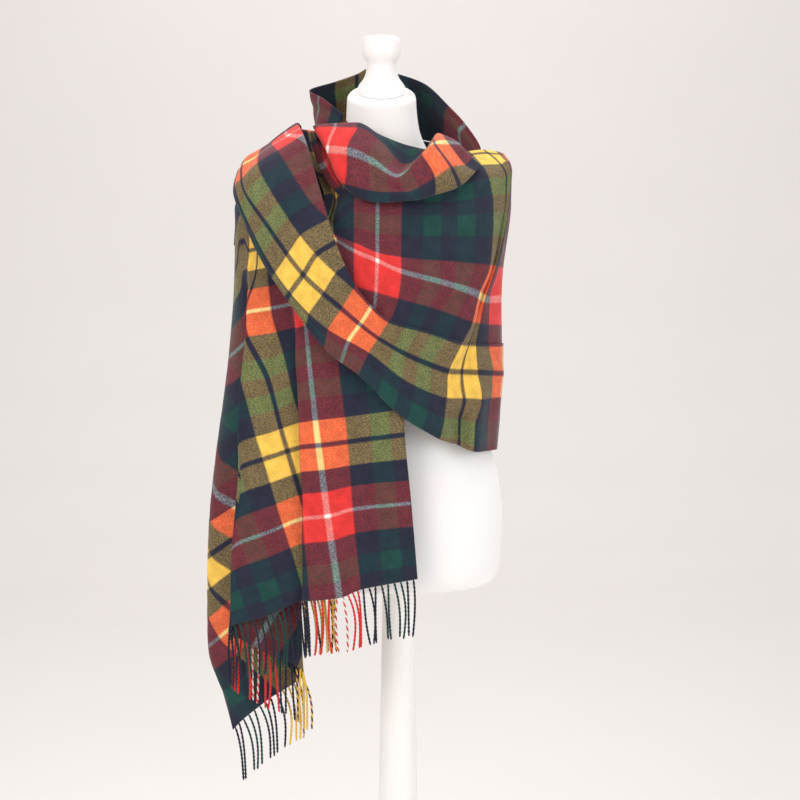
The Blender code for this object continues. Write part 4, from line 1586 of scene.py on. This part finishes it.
@dataclass(frozen=True)
class Lamp:
    """One soft round lamp.

    Args:
        name: the lamp's name.
        place: where it hangs, in metres.
        size: its diameter in metres.
        power: its power in watts.
        colour: its sRGB hex colour.
        target: what it points at, the scarf's middle by default.
    """

    name: str
    place: tuple[float, float, float]
    size: float
    power: float
    colour: str
    target: tuple[float, float, float] = (0.0, 0.0, 1.15)

    def hang(self) -> None:
        """Hang the lamp."""
        light = bpy.data.lights.new(self.name, "AREA")
        light.shape = "DISK"
        light.size = self.size
        light.energy = self.power
        light.color = linear(self.colour)[:3]
        stand_at(bpy.data.objects.new(self.name, light), self.place, self.target)


@dataclass
class Studio:
    """The paper sweep, the soft lights and the camera.

    Args:
        floor_front: where the paper starts, in metres to the front.
        bend_start: where it starts to rise behind the form.
        bend: radius of its rise.
        wall: height of its upright part.
        half_width: half its width.
        rows: cells along the paper.
        lamps: the lamps.
        air: colour of the light from all round.
        air_strength: its strength.
        eye: place of the camera.
        aim: what the camera points at.
        lens: focal length in millimetres.
        sensor: width of the camera's sensor in millimetres.
    """

    floor_front: float = -7.0
    bend_start: float = 3.7
    bend: float = 1.3
    wall: float = 4.5
    half_width: float = 9.0
    rows: int = 40
    lamps: tuple[Lamp, ...] = (
        Lamp("key_lamp", (-1.9, -2.6, 2.6), 1.8, 50.0, "FFFCF8"),
        Lamp("fill_lamp", (2.3, -2.2, 1.7), 2.2, 30.0, "FBFBFF"),
        Lamp("top_lamp", (0.2, 0.4, 3.4), 2.4, 36.0, "FFFFFF"),
        Lamp("paper_lamp", (0.0, 3.2, 4.6), 1.6, 30.0, "FFFBFA", (0.0, 5.0, 1.6)),
    )
    air: str = "F4F1F0"
    air_strength: float = 0.64
    eye: tuple[float, float, float] = (0.003, -2.8, 1.40)
    aim: tuple[float, float, float] = (0.003, 0.0, 1.115)
    lens: float = 79.16
    sensor: float = 36.0

    def paper(self) -> None:
        """Lay the paper: floor, bend and wall in one sheet."""
        bm = bmesh.new()
        bmesh.ops.create_grid(bm, x_segments=8, y_segments=self.rows, size=1.0)
        flat, arc = self.bend_start - self.floor_front, self.bend * math.pi / 2
        for vertex in bm.verts:
            run = (vertex.co.y + 1) / 2 * (flat + arc + self.wall)
            x = vertex.co.x * self.half_width
            if run <= flat:
                vertex.co = (x, self.floor_front + run, 0.0)
            elif run <= flat + arc:
                turn = (run - flat) / self.bend
                vertex.co = (x, self.bend_start + self.bend * math.sin(turn),
                             self.bend * (1 - math.cos(turn)))
            else:
                vertex.co = (x, self.bend_start + self.bend, self.bend + run - flat - arc)
        sweep = finished("studio_paper", bm)
        sweep.data.materials.append(PAPER.make())

    def build(self) -> None:
        """Build the paper, the lamps, the air's light and the camera."""
        self.paper()
        for lamp in self.lamps:
            lamp.hang()
        world = bpy.data.worlds.new("studio_air")
        world.use_nodes = True
        feed(world.node_tree, world.node_tree.nodes["Background"],
             {"Color": linear(self.air), "Strength": self.air_strength})
        scene = bpy.context.scene
        scene.world = world
        scene.view_settings.view_transform = "Standard"
        lens = bpy.data.cameras.new("camera")
        lens.sensor_width = self.sensor
        lens.lens = self.lens
        scene.camera = bpy.data.objects.new("camera", lens)
        stand_at(scene.camera, self.eye, self.aim)


def main() -> None:
    """Build the form, the stand and the scarf."""
    logging.basicConfig(level=logging.INFO, format="%(name)s %(message)s")
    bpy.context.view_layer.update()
    form = DressForm()
    form.dress(*form.build())
    stand = Stand()
    stand.dress(*stand.build())
    scarf = wound_scarf()
    scarf.build()
    scarf.dress()
    Studio().build()


if __name__ == "__main__":
    main()
